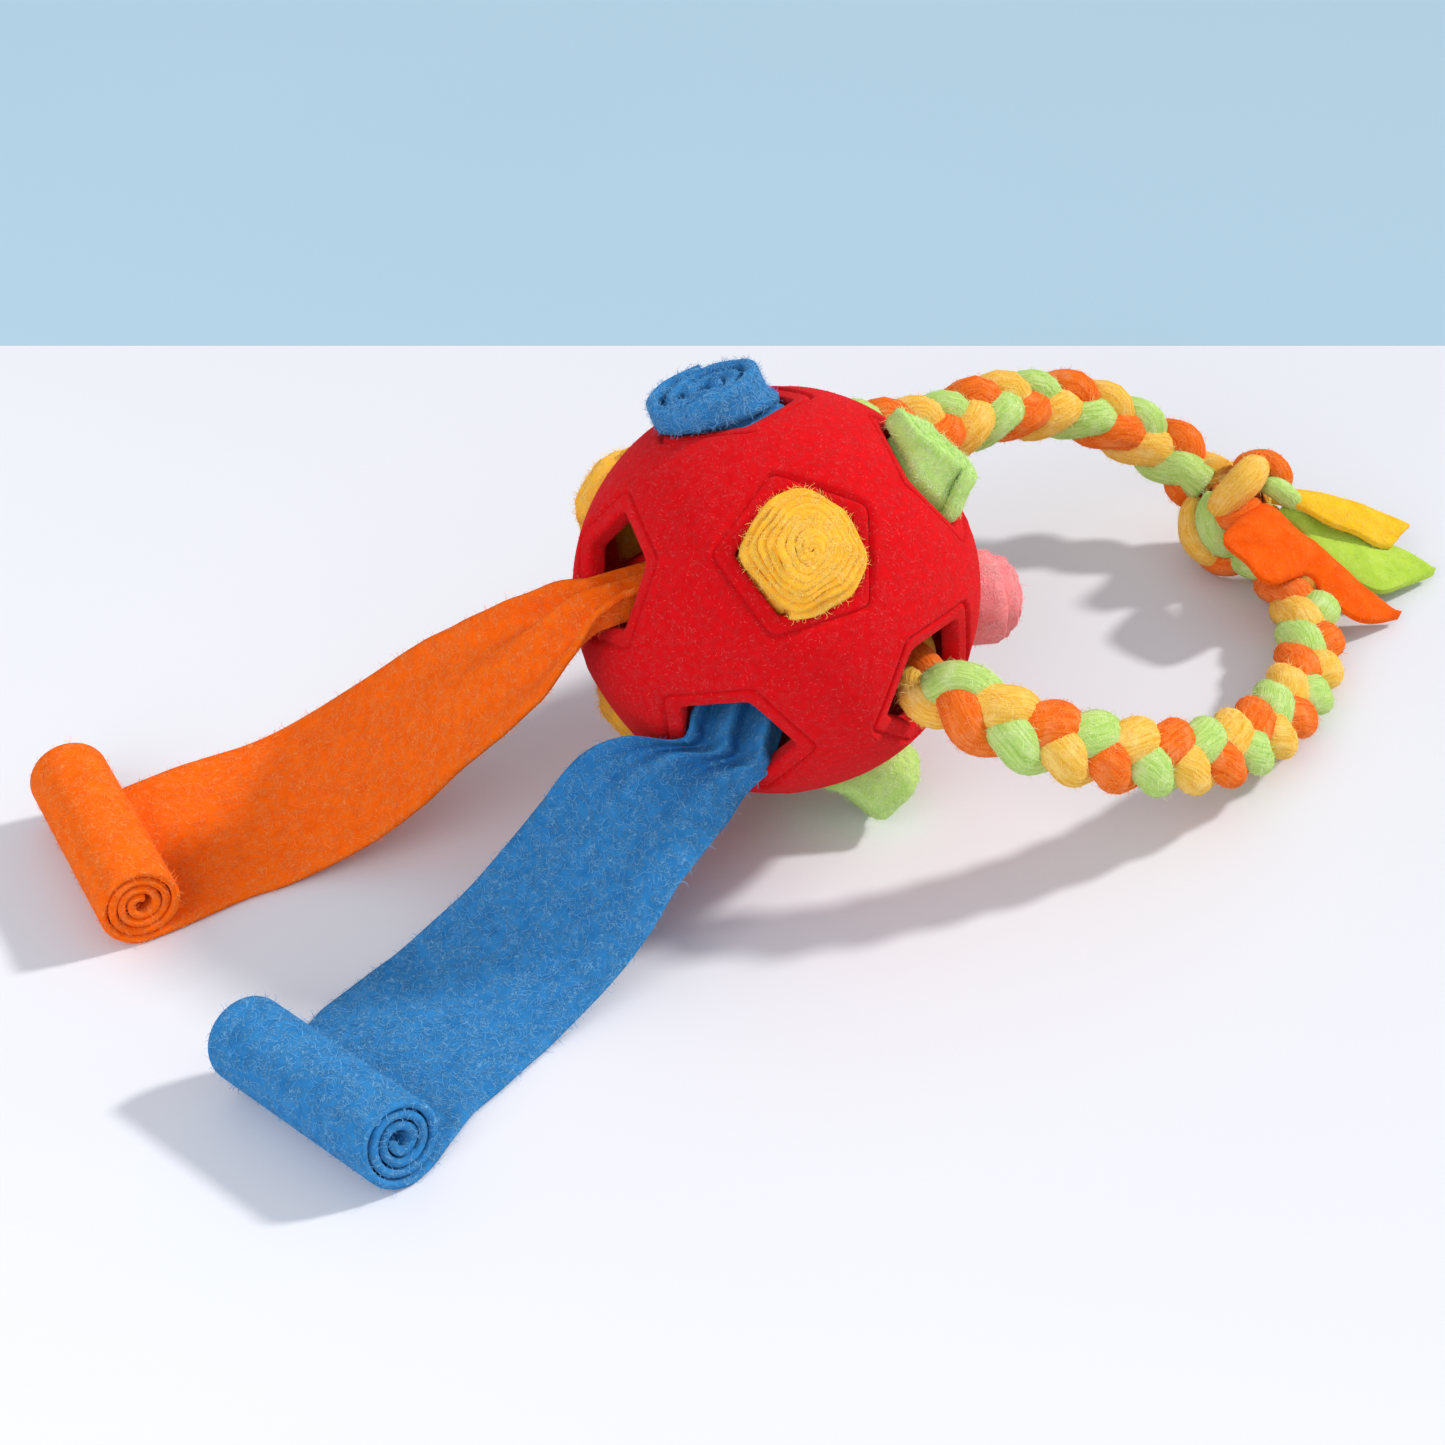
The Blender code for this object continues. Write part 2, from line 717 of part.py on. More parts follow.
def rope_paths():
    """The rope's three stretches, cut at its mouths by a thin gap."""
    _, low, high = rope_pivot()
    knot = Vector(KNOT_CENTRE)

    def into_knot(last):
        return knot + (last - knot).normalized() * ROPE_IN_KNOT

    near = [Vector(p) for p in ROPE_NEAR_ROUTE]
    far = [Vector(p) for p in ROPE_FAR_ROUTE]
    near = spread(smooth_path([low, *near, into_knot(near[-1])], PATH_STEPS), ROPE_STEP)
    far = spread(smooth_path([high, *far, into_knot(far[-1])], PATH_STEPS), ROPE_STEP)
    ends = []
    for stretch, other in ((near, high), (far, low)):
        meeting = stretch[0]
        inward = (other - meeting).normalized()
        run = ((stretch[1] - meeting).normalized() - inward).normalized()
        stretch[:1] = [meeting + run * JOINT_GAP / 2, meeting + run * STRAIGHT_END]
        ends.append([meeting - run * JOINT_GAP / 2, meeting - run * STRAIGHT_END])
    inside = [*ends[0], *ends[1][::-1]]
    return {"rope_near": near, "rope_inside": inside, "rope_far": far}


def ring_mesh(name, radius, thickness, steps):
    """A closed round ring about Z."""
    curve = bpy.data.curves.new(name, "CURVE")
    curve.dimensions = "3D"
    curve.bevel_depth = thickness
    curve.bevel_resolution = 1
    spline = curve.splines.new("POLY")
    spline.points.add(steps - 1)
    for i, slot in enumerate(spline.points):
        angle = FULL_TURN * i / steps
        slot.co = (radius * math.cos(angle), radius * math.sin(angle), 0, 1)
    spline.use_cyclic_u = True
    return curve_to_mesh(curve, name)


def make_knot(paths, material, parts, guides, pivot, middle):
    """A ball of fleece with two wraps round it, hollowed where the rope goes in."""
    centre = Vector(KNOT_CENTRE)
    bm = bmesh.new()
    bmesh.ops.create_uvsphere(bm, u_segments=KNOT_STEPS, v_segments=KNOT_STEPS // 2, radius=KNOT_CORE)
    knot = add_object("knot", mesh_from(bm, "knot"), parts, pivot, Matrix.Translation(centre - middle))
    knot.data.materials.append(material)
    entry = (paths["rope_near"][-1] - paths["rope_far"][-1]).normalized()
    across = entry.cross(UP).normalized()
    directions = (entry + across * 0.1, (entry + UP * 0.9 - across * 0.2).normalized())
    for number, (direction, ring) in enumerate(zip(directions, KNOT_WRAP_RINGS)):
        turn = UP.rotation_difference(direction).to_matrix().to_4x4()
        mesh = ring_mesh("wrap", ring, KNOT_WRAP, KNOT_WRAP_STEPS)
        wrap = add_object(f"knot_wrap_{number}", mesh, guides, knot, turn)
        hide_guide(wrap)
        add_boolean(knot, wrap, "UNION")
    for name, end, before in (
        ("near", paths["rope_near"][-1], paths["rope_near"][-2]),
        ("far", paths["rope_far"][-1], paths["rope_far"][-2]),
    ):
        run = (end - before).normalized()
        socket = [before - centre, end + run * JOINT_GAP - centre]
        mesh = tube_mesh("socket", socket, ROPE + JOINT_GAP * 4, 2)
        guide = add_object(f"knot_socket_{name}", mesh, guides, knot)
        hide_guide(guide)
        add_boolean(knot, guide, "DIFFERENCE")


def make_tail(name, colour, points, parts, pivot, middle):
    """One free end of the plait: a flat strip of fleece cut to a point."""
    path = smooth_path([Vector(p) - middle for p in points], TAIL_STEPS)
    stations = []
    for i, point in enumerate(path):
        spot = i / TAIL_STEPS
        low = min(int(spot), len(TAIL_WIDTH_SHARES) - 2)
        mix = spot - low
        wide = TAIL_WIDTH_SHARES[low] * (1 - mix) + TAIL_WIDTH_SHARES[low + 1] * mix
        ahead = (path[min(i + 1, len(path) - 1)] - path[max(i - 1, 0)]).normalized()
        across = ahead.cross(UP).normalized()
        stations.append((point, across, across.cross(ahead), TAIL_WIDTH * wide / 2, 0.0))
    item = add_object(name, loft_mesh(name, stations, TAIL_THICKNESS, 2), parts, pivot)
    item.data.materials.append(new_material(f"{name}_fleece", COLOURS[colour], 0.95))


def make_rope(parts, guides, toy):
    middle, _, _ = rope_pivot()
    pivot = bpy.data.objects.new("rope_pivot", None)
    parts.objects.link(pivot)
    pivot.parent = toy
    pivot.location = middle
    material = new_material("fleece_plait", COLOURS["yellow"], 0.95)
    paths = rope_paths()
    for name, path in paths.items():
        share = SQUEEZED_ROPE_SHARE if name == "rope_inside" else 1
        mesh = tube_mesh(name, [p - middle for p in path], ROPE * share, 2)
        add_object(name, mesh, parts, pivot).data.materials.append(material)
    make_knot(paths, material, parts, guides, pivot, middle)
    make_tail("tail_yellow", "yellow", YELLOW_TAIL_ROUTE, parts, pivot, middle)
    make_tail("tail_green", "green", GREEN_TAIL_ROUTE, parts, pivot, middle)
    make_tail("tail_orange", "orange", ORANGE_TAIL_ROUTE, parts, pivot, middle)


def floor_block(guides, toy):
    """Everything below the table, cut from what the toy stands on."""
    bm = bmesh.new()
    bmesh.ops.create_cube(bm, size=FACE_DISTANCE * 4)
    block = add_object("floor_block", mesh_from(bm, "floor_block"), guides, toy)
    block.location = -UP * FACE_DISTANCE * 2
    hide_guide(block)
    return block


def footprint_centre(parts):
    """Middle of the toy's footprint."""
    bpy.context.view_layer.update()
    graph = bpy.context.evaluated_depsgraph_get()
    points = []
    for item in parts.objects:
        if item.type == "MESH":
            shape = item.evaluated_get(graph)
            points += [shape.matrix_world @ v.co for v in shape.data.vertices]
    low = [min(p[i] for p in points) for i in range(2)]
    high = [max(p[i] for p in points) for i in range(2)]
    return Vector(((low[0] + high[0]) / 2, (low[1] + high[1]) / 2, 0))


def main():
    clear_scene()
    parts = new_collection("treat_ball")
    guides = new_collection("guides")
    toy = bpy.data.objects.new("toy", None)
    parts.objects.link(toy)
    floor = floor_block(guides, toy)
    make_ball(parts, guides, toy)
    for name, roll in ROLLS.items():
        make_roll(name, roll, parts, guides, toy, floor)
    make_strip(
        "orange_strip", "left", "orange", ORANGE_WIDTH, ORANGE_STATION_SHARES, ORANGE_FOOT,
        ORANGE_SCROLL_TURN, ORANGE_SCROLL_RADIUS, ORANGE_SCROLL_PITCH, parts, toy,
    )
    make_strip(
        "blue_strip", "front", "blue", BLUE_WIDTH, BLUE_STATION_SHARES, BLUE_FOOT,
        BLUE_SCROLL_TURN, BLUE_SCROLL_RADIUS, BLUE_SCROLL_PITCH, parts, toy,
    )
    make_rope(parts, guides, toy)
    toy.location = -footprint_centre(parts)
    bpy.context.view_layer.update()


main()
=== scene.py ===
import bisect
import math
import random

import bmesh
import bpy
from mathutils import Euler, Matrix, Vector, noise
from mathutils.bvhtree import BVHTree


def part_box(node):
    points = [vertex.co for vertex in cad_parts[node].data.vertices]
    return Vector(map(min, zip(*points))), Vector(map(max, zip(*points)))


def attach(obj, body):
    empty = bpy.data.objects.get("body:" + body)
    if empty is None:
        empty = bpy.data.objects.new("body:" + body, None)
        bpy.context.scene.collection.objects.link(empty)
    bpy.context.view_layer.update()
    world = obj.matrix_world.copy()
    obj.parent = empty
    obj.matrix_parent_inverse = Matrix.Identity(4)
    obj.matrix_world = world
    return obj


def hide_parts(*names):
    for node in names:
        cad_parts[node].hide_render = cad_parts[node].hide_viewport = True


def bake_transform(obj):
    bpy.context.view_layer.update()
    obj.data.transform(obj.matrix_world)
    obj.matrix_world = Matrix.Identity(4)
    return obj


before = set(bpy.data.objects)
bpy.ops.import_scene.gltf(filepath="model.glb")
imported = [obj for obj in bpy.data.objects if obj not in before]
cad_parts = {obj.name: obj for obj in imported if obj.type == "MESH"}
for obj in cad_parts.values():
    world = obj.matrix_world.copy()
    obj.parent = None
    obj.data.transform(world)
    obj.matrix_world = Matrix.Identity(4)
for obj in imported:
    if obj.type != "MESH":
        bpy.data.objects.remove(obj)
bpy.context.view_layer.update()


# Camera: looks along +Y from 38 degrees above the table, about 0.58 m from the ball. Its focal length is
# given in pixels of the square frame.
low_corner, high_corner = (Vector(corner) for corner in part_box("ball_shell"))
BALL_CENTRE = (low_corner + high_corner) / 2
CAMERA_OFFSET = (-0.0119, -0.4730, 0.3322)
CAMERA_PITCH = 38
SENSOR = 36
FOCAL_PIXELS = 2600
FRAME_PIXELS = 1445

camera_data = bpy.data.cameras.new("camera")
camera_data.sensor_width = SENSOR
camera_data.lens = SENSOR * FOCAL_PIXELS / FRAME_PIXELS
camera_data.clip_start = 0.01
camera = bpy.data.objects.new("camera", camera_data)
camera.location = BALL_CENTRE + Vector(CAMERA_OFFSET)
camera.rotation_euler = (math.radians(90 - CAMERA_PITCH), 0, 0)
bpy.context.scene.collection.objects.link(camera)
bpy.context.scene.camera = camera


# Openings: the twelve faces of a dodecahedron, turned as the ball lies. The rope, the rolls and the strips
# all start from them, so their directions come first.
UP = Vector((0, 0, 1))
BALL_TURN_DEGREES = (44.3, -9.2, 17.0)
RING_NAMES = ("top", "upper_right", "lower_right", "front", "left")
OPPOSITE_NAMES = {
    "centre": "back", "top": "under", "upper_right": "lower_left",
    "lower_right": "upper_left", "front": "rear_top", "left": "right",
}
SIDES = 5
SECTOR = math.tau / SIDES
NEIGHBOUR_COSINE = 1 / math.sqrt(SIDES)
FACE_DISTANCE = 0.0416


def opening_axes():
    turn = Euler([math.radians(a) for a in BALL_TURN_DEGREES]).to_matrix()
    tilt = math.acos(NEIGHBOUR_COSINE)
    axes = {"centre": turn @ UP}
    for step, name in enumerate(RING_NAMES):
        angle = math.tau / 4 - step * SECTOR
        flat = Vector((math.cos(angle), math.sin(angle), 0))
        axes[name] = turn @ (flat * math.sin(tilt) + UP * math.cos(tilt))
    for name, opposite in OPPOSITE_NAMES.items():
        axes[opposite] = -axes[name]
    return axes


AXES = opening_axes()


def in_plane(vector, axis):
    return (vector - axis * vector.dot(axis)).normalized()


def corner_directions(name):
    axis = AXES[name]
    near = [a for a in AXES.values() if abs(a.dot(axis) - NEIGHBOUR_COSINE) < NEIGHBOUR_COSINE / 2]
    return [in_plane(a, axis) for a in near]


def opening_turn(name):
    """Rotation whose Z is the opening's axis and whose Y meets a corner."""
    axis = AXES[name]
    y_axis = corner_directions(name)[0]
    x_axis = y_axis.cross(axis)
    return Matrix((x_axis, y_axis, axis)).transposed()


# Rope ring: three strands of polyester fleece, cut as strips, rolled and plaited into one rope. It passes
# through two openings of the ball and is closed by a knot. The fleece was brushed, so it is dull and soft,
# with the drawn fibres running along each strand.
NAP_OF = {}
# A loose fibre is 0.02 mm thick in life and is drawn 0.11 mm wide, so that it shows
NAP_WIDTH = 0.00011
NAP_LENGTHS = (0.4, 1.0)
NAP_STANDS = (0.05, 0.9)
NAP_CURL = 1.1
NAP_TAPER = (1.0, 0.9, 0.7, 0.3)
NAP_ROOM = 0.004
TABLE_GAP = 0.0002


def smooth_step(low, high, value):
    t = min(1.0, max(0.0, (value - low) / (high - low)))
    return t * t * (3 - 2 * t)


def smooth_path(points, count):
    """Points on a Catmull-Rom curve, count of them on each span."""
    ends = [points[0] * 2 - points[1], *points, points[-1] * 2 - points[-2]]
    path = []
    for first, start, stop, last in zip(ends, ends[1:], ends[2:], ends[3:]):
        for step in range(count):
            t = step / count
            bend = (first * -1 + start * 3 - stop * 3 + last) * t ** 3
            swing = (first * 2 - start * 5 + stop * 4 - last) * t ** 2
            run = (stop - first) * t
            path.append((start * 2 + run + swing + bend) / 2)
    path.append(points[-1])
    return path


def add_piece(name, bm, materials, smooth=True):
    """Link a finished mesh as a named piece."""
    bmesh.ops.remove_doubles(bm, verts=bm.verts, dist=1e-7)
    bmesh.ops.recalc_face_normals(bm, faces=bm.faces)
    mesh = bpy.data.meshes.new(name)
    bm.to_mesh(mesh)
    bm.free()
    for material in materials:
        mesh.materials.append(material)
    mesh.polygons.foreach_set("use_smooth", [smooth] * len(mesh.polygons))
    piece = bpy.data.objects.new(name, mesh)
    bpy.context.scene.collection.objects.link(piece)
    return piece


def add_nap(piece, count, longest, keep=lambda spot: True):
    """A piece of loose fibres that stand off another piece, each a thin bent ribbon."""
    places = [vert.co.copy() for vert in piece.data.vertices]
    faces = [tuple(face.vertices) for face in piece.data.polygons]
    solid = BVHTree.FromPolygons(places, faces)
    reach = []
    total = 0.0
    for face in piece.data.polygons:
        total += face.area
        reach.append(total)
    chance = random.Random(count)
    verts = []
    ribbons = []
    shades = []
    for _ in range(count):
        face = piece.data.polygons[min(len(faces) - 1, bisect.bisect(reach, chance.random() * total))]
        normal = face.normal
        corner = chance.randrange(len(face.vertices))
        a, b, c = (places[face.vertices[(corner + k) % len(face.vertices)]] for k in (0, 1, -1))
        root = a + (b - a) * chance.random() * 0.7 + (c - a) * chance.random() * 0.7
        if not keep(root) or solid.ray_cast(root + normal * TABLE_GAP, normal, NAP_ROOM)[0]:
            continue
        ahead = in_plane(Vector([chance.gauss(0, 1) for _ in range(3)]), normal)
        stand = chance.uniform(*NAP_STANDS) ** 1.6
        curl = Matrix.Rotation(chance.uniform(-NAP_CURL, NAP_CURL), 3, normal)
        length = longest * chance.uniform(*NAP_LENGTHS)
        spot = root
        row = []
        for share in NAP_TAPER:
            side = ahead.cross(normal).normalized() * NAP_WIDTH / 2 * share
            row += [spot + side, spot - side]
            spot = spot + (ahead + normal * stand).normalized() * length / 3
            ahead = curl @ ahead
            stand *= 0.75
        if min(place.z for place in row) < TABLE_GAP:
            continue
        base = len(verts)
        verts += row
        ribbons += [(base + k, base + k + 1, base + k + 3, base + k + 2) for k in (0, 2, 4)]
        shades += [face.material_index] * 3
    mesh = bpy.data.meshes.new(f"{piece.name}_nap")
    mesh.from_pydata(verts, [], ribbons)
    for material in piece.data.materials:
        mesh.materials.append(NAP_OF[material.name])
    mesh.polygons.foreach_set("material_index", shades)
    nap = bpy.data.objects.new(mesh.name, mesh)
    bpy.context.scene.collection.objects.link(nap)
    return nap


def join_rings(bm, rings, material=0):
    """Skin a row of closed rings with quads and close both ends."""
    for ring, following in zip(rings, rings[1:]):
        count = len(ring)
        for i in range(count):
            j = (i + 1) % count
            face = bm.faces.new((ring[i], ring[j], following[j], following[i]))
            face.material_index = material
    for ring in (rings[0], rings[-1]):
        bm.faces.new(ring).material_index = material


def rest_on_table(bm, gap):
    """Press flat whatever would sink below a small gap over the table."""
    for vert in bm.verts:
        vert.co.z = max(vert.co.z, gap)


def linear(hex_colour):
    """An sRGB hex colour as linear RGBA."""
    channels = [int(hex_colour[i : i + 2], 16) / 255 for i in (1, 3, 5)]
    return (*(c / 12.92 if c <= 0.04045 else ((c + 0.055) / 1.055) ** 2.4 for c in channels), 1.0)


def add_node(tree, kind, settings=None, inputs=None):
    """Add a node, set its properties and fill or link its inputs."""
    node = tree.nodes.new(kind)
    for key, value in (settings or {}).items():
        setattr(node, key, value)
    for key, value in (inputs or {}).items():
        if isinstance(value, bpy.types.NodeSocket):
            tree.links.new(value, node.inputs[key])
        else:
            node.inputs[key].default_value = value
    return node


def fibre_material(owner, base, light):
    """Single fibres: a little paler than the face they stand on."""
    material = bpy.data.materials.new(f"{owner.name}_fibres")
    material.use_nodes = True
    shader = material.node_tree.nodes["Principled BSDF"]
    mixed = [(a + b) / 2 for a, b in zip(linear(base), linear(light))]
    shader.inputs["Base Color"].default_value = mixed
    shader.inputs["Roughness"].default_value = 0.8
    shader.inputs["Specular IOR Level"].default_value = 0.05
    NAP_OF[owner.name] = material


def cloth_material(name, base, light, roughness, sheen, sheen_roughness):
    """A dull cloth with a soft sheen at its edges, and the material of its loose fibres."""
    material = bpy.data.materials.new(name)
    material.use_nodes = True
    shader = material.node_tree.nodes["Principled BSDF"]
    shader.inputs["Roughness"].default_value = roughness
    shader.inputs["Specular IOR Level"].default_value = 0.04
    shader.inputs["Sheen Weight"].default_value = sheen
    shader.inputs["Sheen Roughness"].default_value = sheen_roughness
    shader.inputs["Sheen Tint"].default_value = linear(light)
    fibre_material(material, base, light)
    return material, material.node_tree, shader


def fleece_material(name, base, dark, light):
    """Fleece drawn into a strand: soft lines about 0.7 mm apart run along it."""
    material, tree, shader = cloth_material(name, base, light, 0.95, 0.15, 0.4)
    strand = add_node(tree, "ShaderNodeTexCoord").outputs["UV"]
    place = add_node(tree, "ShaderNodeTexCoord").outputs["Object"]
    drawn = add_node(
        tree, "ShaderNodeMapping", inputs={"Vector": strand, "Scale": (34.0, 420.0, 1.0)}
    ).outputs[0]
    lines = add_node(
        tree, "ShaderNodeTexNoise", inputs={"Vector": drawn, "Scale": 1.0, "Detail": 4.0, "Distortion": 0.8}
    ).outputs[0]
    grain = add_node(
        tree, "ShaderNodeTexNoise", inputs={"Vector": place, "Scale": 2400.0, "Detail": 3.0}
    ).outputs[0]
    cloud = add_node(
        tree, "ShaderNodeTexNoise", inputs={"Vector": place, "Scale": 240.0, "Detail": 3.0}
    ).outputs[0]
    shade = add_node(
        tree, "ShaderNodeMapRange", inputs={"Value": lines, "From Min": 0.34, "From Max": 0.62}
    ).outputs[0]
    colour = add_node(
        tree, "ShaderNodeMix", {"data_type": "RGBA"}, {"Factor": shade, 6: linear(dark), 7: linear(base)}
    ).outputs[2]
    tips = add_node(
        tree, "ShaderNodeMapRange",
        inputs={"Value": cloud, "From Min": 0.5, "From Max": 0.8, "To Min": 0.0, "To Max": 0.5},
    ).outputs[0]
    colour = add_node(
        tree, "ShaderNodeMix", {"data_type": "RGBA"}, {"Factor": tips, 6: colour, 7: linear(light)}
    ).outputs[2]
    tree.links.new(colour, shader.inputs["Base Color"])
    heights = add_node(
        tree, "ShaderNodeMath", {"operation": "MULTIPLY_ADD"}, {0: lines, 1: 2.0, 2: grain}
    ).outputs[0]
    bump = add_node(
        tree, "ShaderNodeBump", inputs={"Strength": 0.5, "Distance": 0.0005, "Height": heights}
    ).outputs[0]
    tree.links.new(bump, shader.inputs["Normal"])
    return material


FLEECE = {
    "yellow": fleece_material("yellow_fleece", "#f6c85a", "#eaaa34", "#fde7a2"),
    "green": fleece_material("green_fleece", "#c2de80", "#a3ca5c", "#e6f6c0"),
    "orange": fleece_material("orange_fleece", "#f57c2a", "#e65c12", "#fcab70"),
}

TOY = Vector((BALL_CENTRE.x, BALL_CENTRE.y, 0))
ROPE_SETTLE = 0.0039
KNOT_CENTRE = TOY + Vector((0.1202, 0.0900, 0.0140))
ROPE_IN_KNOT = 0.0118
PLAIT_PITCH = 0.0345
FIRST_LOBE = 0.0123
FAR_LOBE = 0.0046
STRAND_SWING = 0.0041
STRAND_RISE = 0.0025
STRAND_WIDE = 0.0051
STRAND_THICK = 0.0040
STRAND_SIDES = 14
STRAND_LUMP = 0.06
STRAND_LUMP_SCALE = 160
ROPE_NEAR_ROUTE = (
    (0.0377, -0.0298, 0.0472),
    (0.0467, -0.0335, 0.0430),
    (0.0587, -0.0330, 0.0375),
    (0.0707, -0.0295, 0.0315),
    (0.0847, -0.0235, 0.0250),
    (0.1017, -0.0115, 0.0173),
    (0.1182, 0.0085, 0.0110),
    (0.1297, 0.0310, 0.0078),
    (0.1337, 0.0520, 0.0076),
    (0.1312, 0.0690, 0.0090),
)
ROPE_FAR_ROUTE = (
    (0.0145, 0.0465, 0.0640),
    (0.0235, 0.0545, 0.0600),
    (0.0330, 0.0635, 0.0555),
    (0.0421, 0.0725, 0.0515),
    (0.0538, 0.0845, 0.0497),
    (0.0650, 0.0948, 0.0443),
    (0.0750, 0.1010, 0.0410),
    (0.0855, 0.1050, 0.0355),
    (0.0966, 0.1075, 0.0279),
    (0.1072, 0.1045, 0.0225),
)
ROUTE_STEPS = 10


def rope_mouth(name):
    axis = AXES[name]
    return BALL_CENTRE + axis * FACE_DISTANCE - in_plane(UP, axis) * ROPE_SETTLE


def into_knot(last):
    return KNOT_CENTRE + (last - KNOT_CENTRE).normalized() * ROPE_IN_KNOT


LOW_MOUTH = rope_mouth("lower_right")
HIGH_MOUTH = rope_mouth("rear_top")
near_points = [TOY + Vector(p) for p in ROPE_NEAR_ROUTE]
far_points = [TOY + Vector(p) for p in ROPE_FAR_ROUTE]
inner_points = [HIGH_MOUTH.lerp(LOW_MOUTH, share) for share in (0.3, 0.7)]
rope_points = [
    into_knot(far_points[-1]), *far_points[::-1], HIGH_MOUTH, *inner_points, LOW_MOUTH,
    *near_points, into_knot(near_points[-1]),
]
rope_path = smooth_path(rope_points, ROUTE_STEPS)
high_index = (len(far_points) + 1) * ROUTE_STEPS
low_index = high_index + (len(inner_points) + 1) * ROUTE_STEPS
PLAIT_FACE = Vector((0.1, -0.60, 0.79)).normalized()
PLAIT_LAG = 0.8
MOUTH_GIRTH = 0.77
MOUTH_RAMP = (0.0015, 0.0150)
ROPE_REST = 0.0004
UV_ALONG = 8
UV_ROUND = 0.1


def rope_lengths():
    """Distance of each path point along the rope from the low mouth."""
    walked = [0.0]
    for a, b in zip(rope_path, rope_path[1:]):
        walked.append(walked[-1] + (b - a).length)
    return [w - walked[low_index] for w in walked]


rope_along = rope_lengths()


def rope_squeeze(along):
    """Share of the full girth: the rope is pinched where it passes the ball's openings."""
    far_mouth = rope_along[high_index]
    past = max(along, far_mouth - along, 0.0)
    return MOUTH_GIRTH + (1 - MOUTH_GIRTH) * smooth_step(*MOUTH_RAMP, past)


def strand_centres(number):
    """The middle line of one strand, over, under and across the others."""
    centres = []
    for i, point in enumerate(rope_path):
        ahead = (rope_path[min(i + 1, len(rope_path) - 1)] - rope_path[max(i - 1, 0)]).normalized()
        rise = in_plane(PLAIT_FACE, ahead)
        inner = rise.cross(ahead)
        inside = min(1.0, max(0.0, rope_along[i] / rope_along[high_index]))
        start = FIRST_LOBE + (FAR_LOBE - FIRST_LOBE) * inside
        phase = math.tau * ((rope_along[i] - start) / PLAIT_PITCH + 0.25 - number / 3)
        phase += PLAIT_LAG * (1 - math.sin(phase)) / 2
        sway = inner * STRAND_SWING * math.sin(phase) + rise * STRAND_RISE * math.sin(2 * phase)
        centres.append(point + sway * rope_squeeze(rope_along[i]))
    return centres


def unwrap_tube(bm, layer, before, sides, along):
    """Lay the texture along a tube, given the place of each of its rings."""
    bm.faces.ensure_lookup_table()
    for number in range(before, len(bm.faces) - 2):
        row, column = divmod(number - before, sides)
        corners = ((row, column), (row, column + 1), (row + 1, column + 1), (row + 1, column))
        for loop, (r, c) in zip(bm.faces[number].loops, corners):
            loop[layer].uv = (along[r], c / sides * UV_ROUND)


def add_strand(bm, layer, centres, first, last, material):
    """Skin one stretch of a strand, flat side to the plait's face."""
    rings = []
    for i in range(first, last + 1):
        ahead = (centres[min(i + 1, len(centres) - 1)] - centres[max(i - 1, 0)]).normalized()
        rise = in_plane(PLAIT_FACE, ahead)
        side = rise.cross(ahead)
        swell = rope_squeeze(rope_along[i]) * (1 + STRAND_LUMP * noise.noise(centres[i] * STRAND_LUMP_SCALE))
        ring = []
        for k in range(STRAND_SIDES):
            angle = math.tau * (k / STRAND_SIDES - 0.25)
            place = side * math.cos(angle) * STRAND_WIDE + rise * math.sin(angle) * STRAND_THICK
            ring.append(bm.verts.new(centres[i] + place * swell))
        rings.append(ring)
    before = len(bm.faces)
    join_rings(bm, rings, material)
    along = [rope_along[i] * UV_ALONG for i in range(first, last + 1)]
    unwrap_tube(bm, layer, before, STRAND_SIDES, along)


def make_plait(name, node, first, last):
    bm = bmesh.new()
    layer = bm.loops.layers.uv.new("strand")
    for number in range(3):
        add_strand(bm, layer, strand_centres(number), first, last, number)
    rest_on_table(bm, ROPE_REST)
    piece = add_piece(name, bm, [FLEECE["green"], FLEECE["yellow"], FLEECE["orange"]])
    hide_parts(node)
    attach(piece, "rope")
    return piece


def rope_nap(piece, count, longest):
    nap = add_nap(piece, count, longest)
    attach(nap, "rope")
    return nap


plait_far = make_plait("plait_far", "rope_far", 0, high_index)
make_plait("plait_inside", "rope_inside", high_index, low_index)
plait_near = make_plait("plait_near", "rope_near", low_index, len(rope_path) - 1)
far_nap = rope_nap(plait_far, count=12000, longest=0.0024)
near_nap = rope_nap(plait_near, count=16000, longest=0.0026)


# Knot: the three strands tied over each other where the ring closes. It shows as fat, oval bends pulled
# tight round a core that stays out of sight.
KNOT_RIGHT = Vector((1, 0, 0))
KNOT_FRONT = Vector((0, -math.cos(math.radians(CAMERA_PITCH)), math.sin(math.radians(CAMERA_PITCH))))
KNOT_TOP = KNOT_FRONT.cross(KNOT_RIGHT)
KNOT_CORE = 9.4
KNOT_REST = 0.0003
BEND_SIDES = 18
BEND_STEPS = 8
BEND_UV_ALONG = 0.006
BEND_CREASE = 0.035
BEND_CREASES = 5
BEND_TWIST = 3
BEND_LUMP = 0.05
BEND_LUMP_SCALE = 200
BEND_END_SHARE = 0.45


def knot_place(spot):
    """A place given in millimetres right, up and forward of the knot's middle."""
    right, up, front = spot
    return KNOT_CENTRE + (KNOT_RIGHT * right + KNOT_TOP * up + KNOT_FRONT * front) / 1000


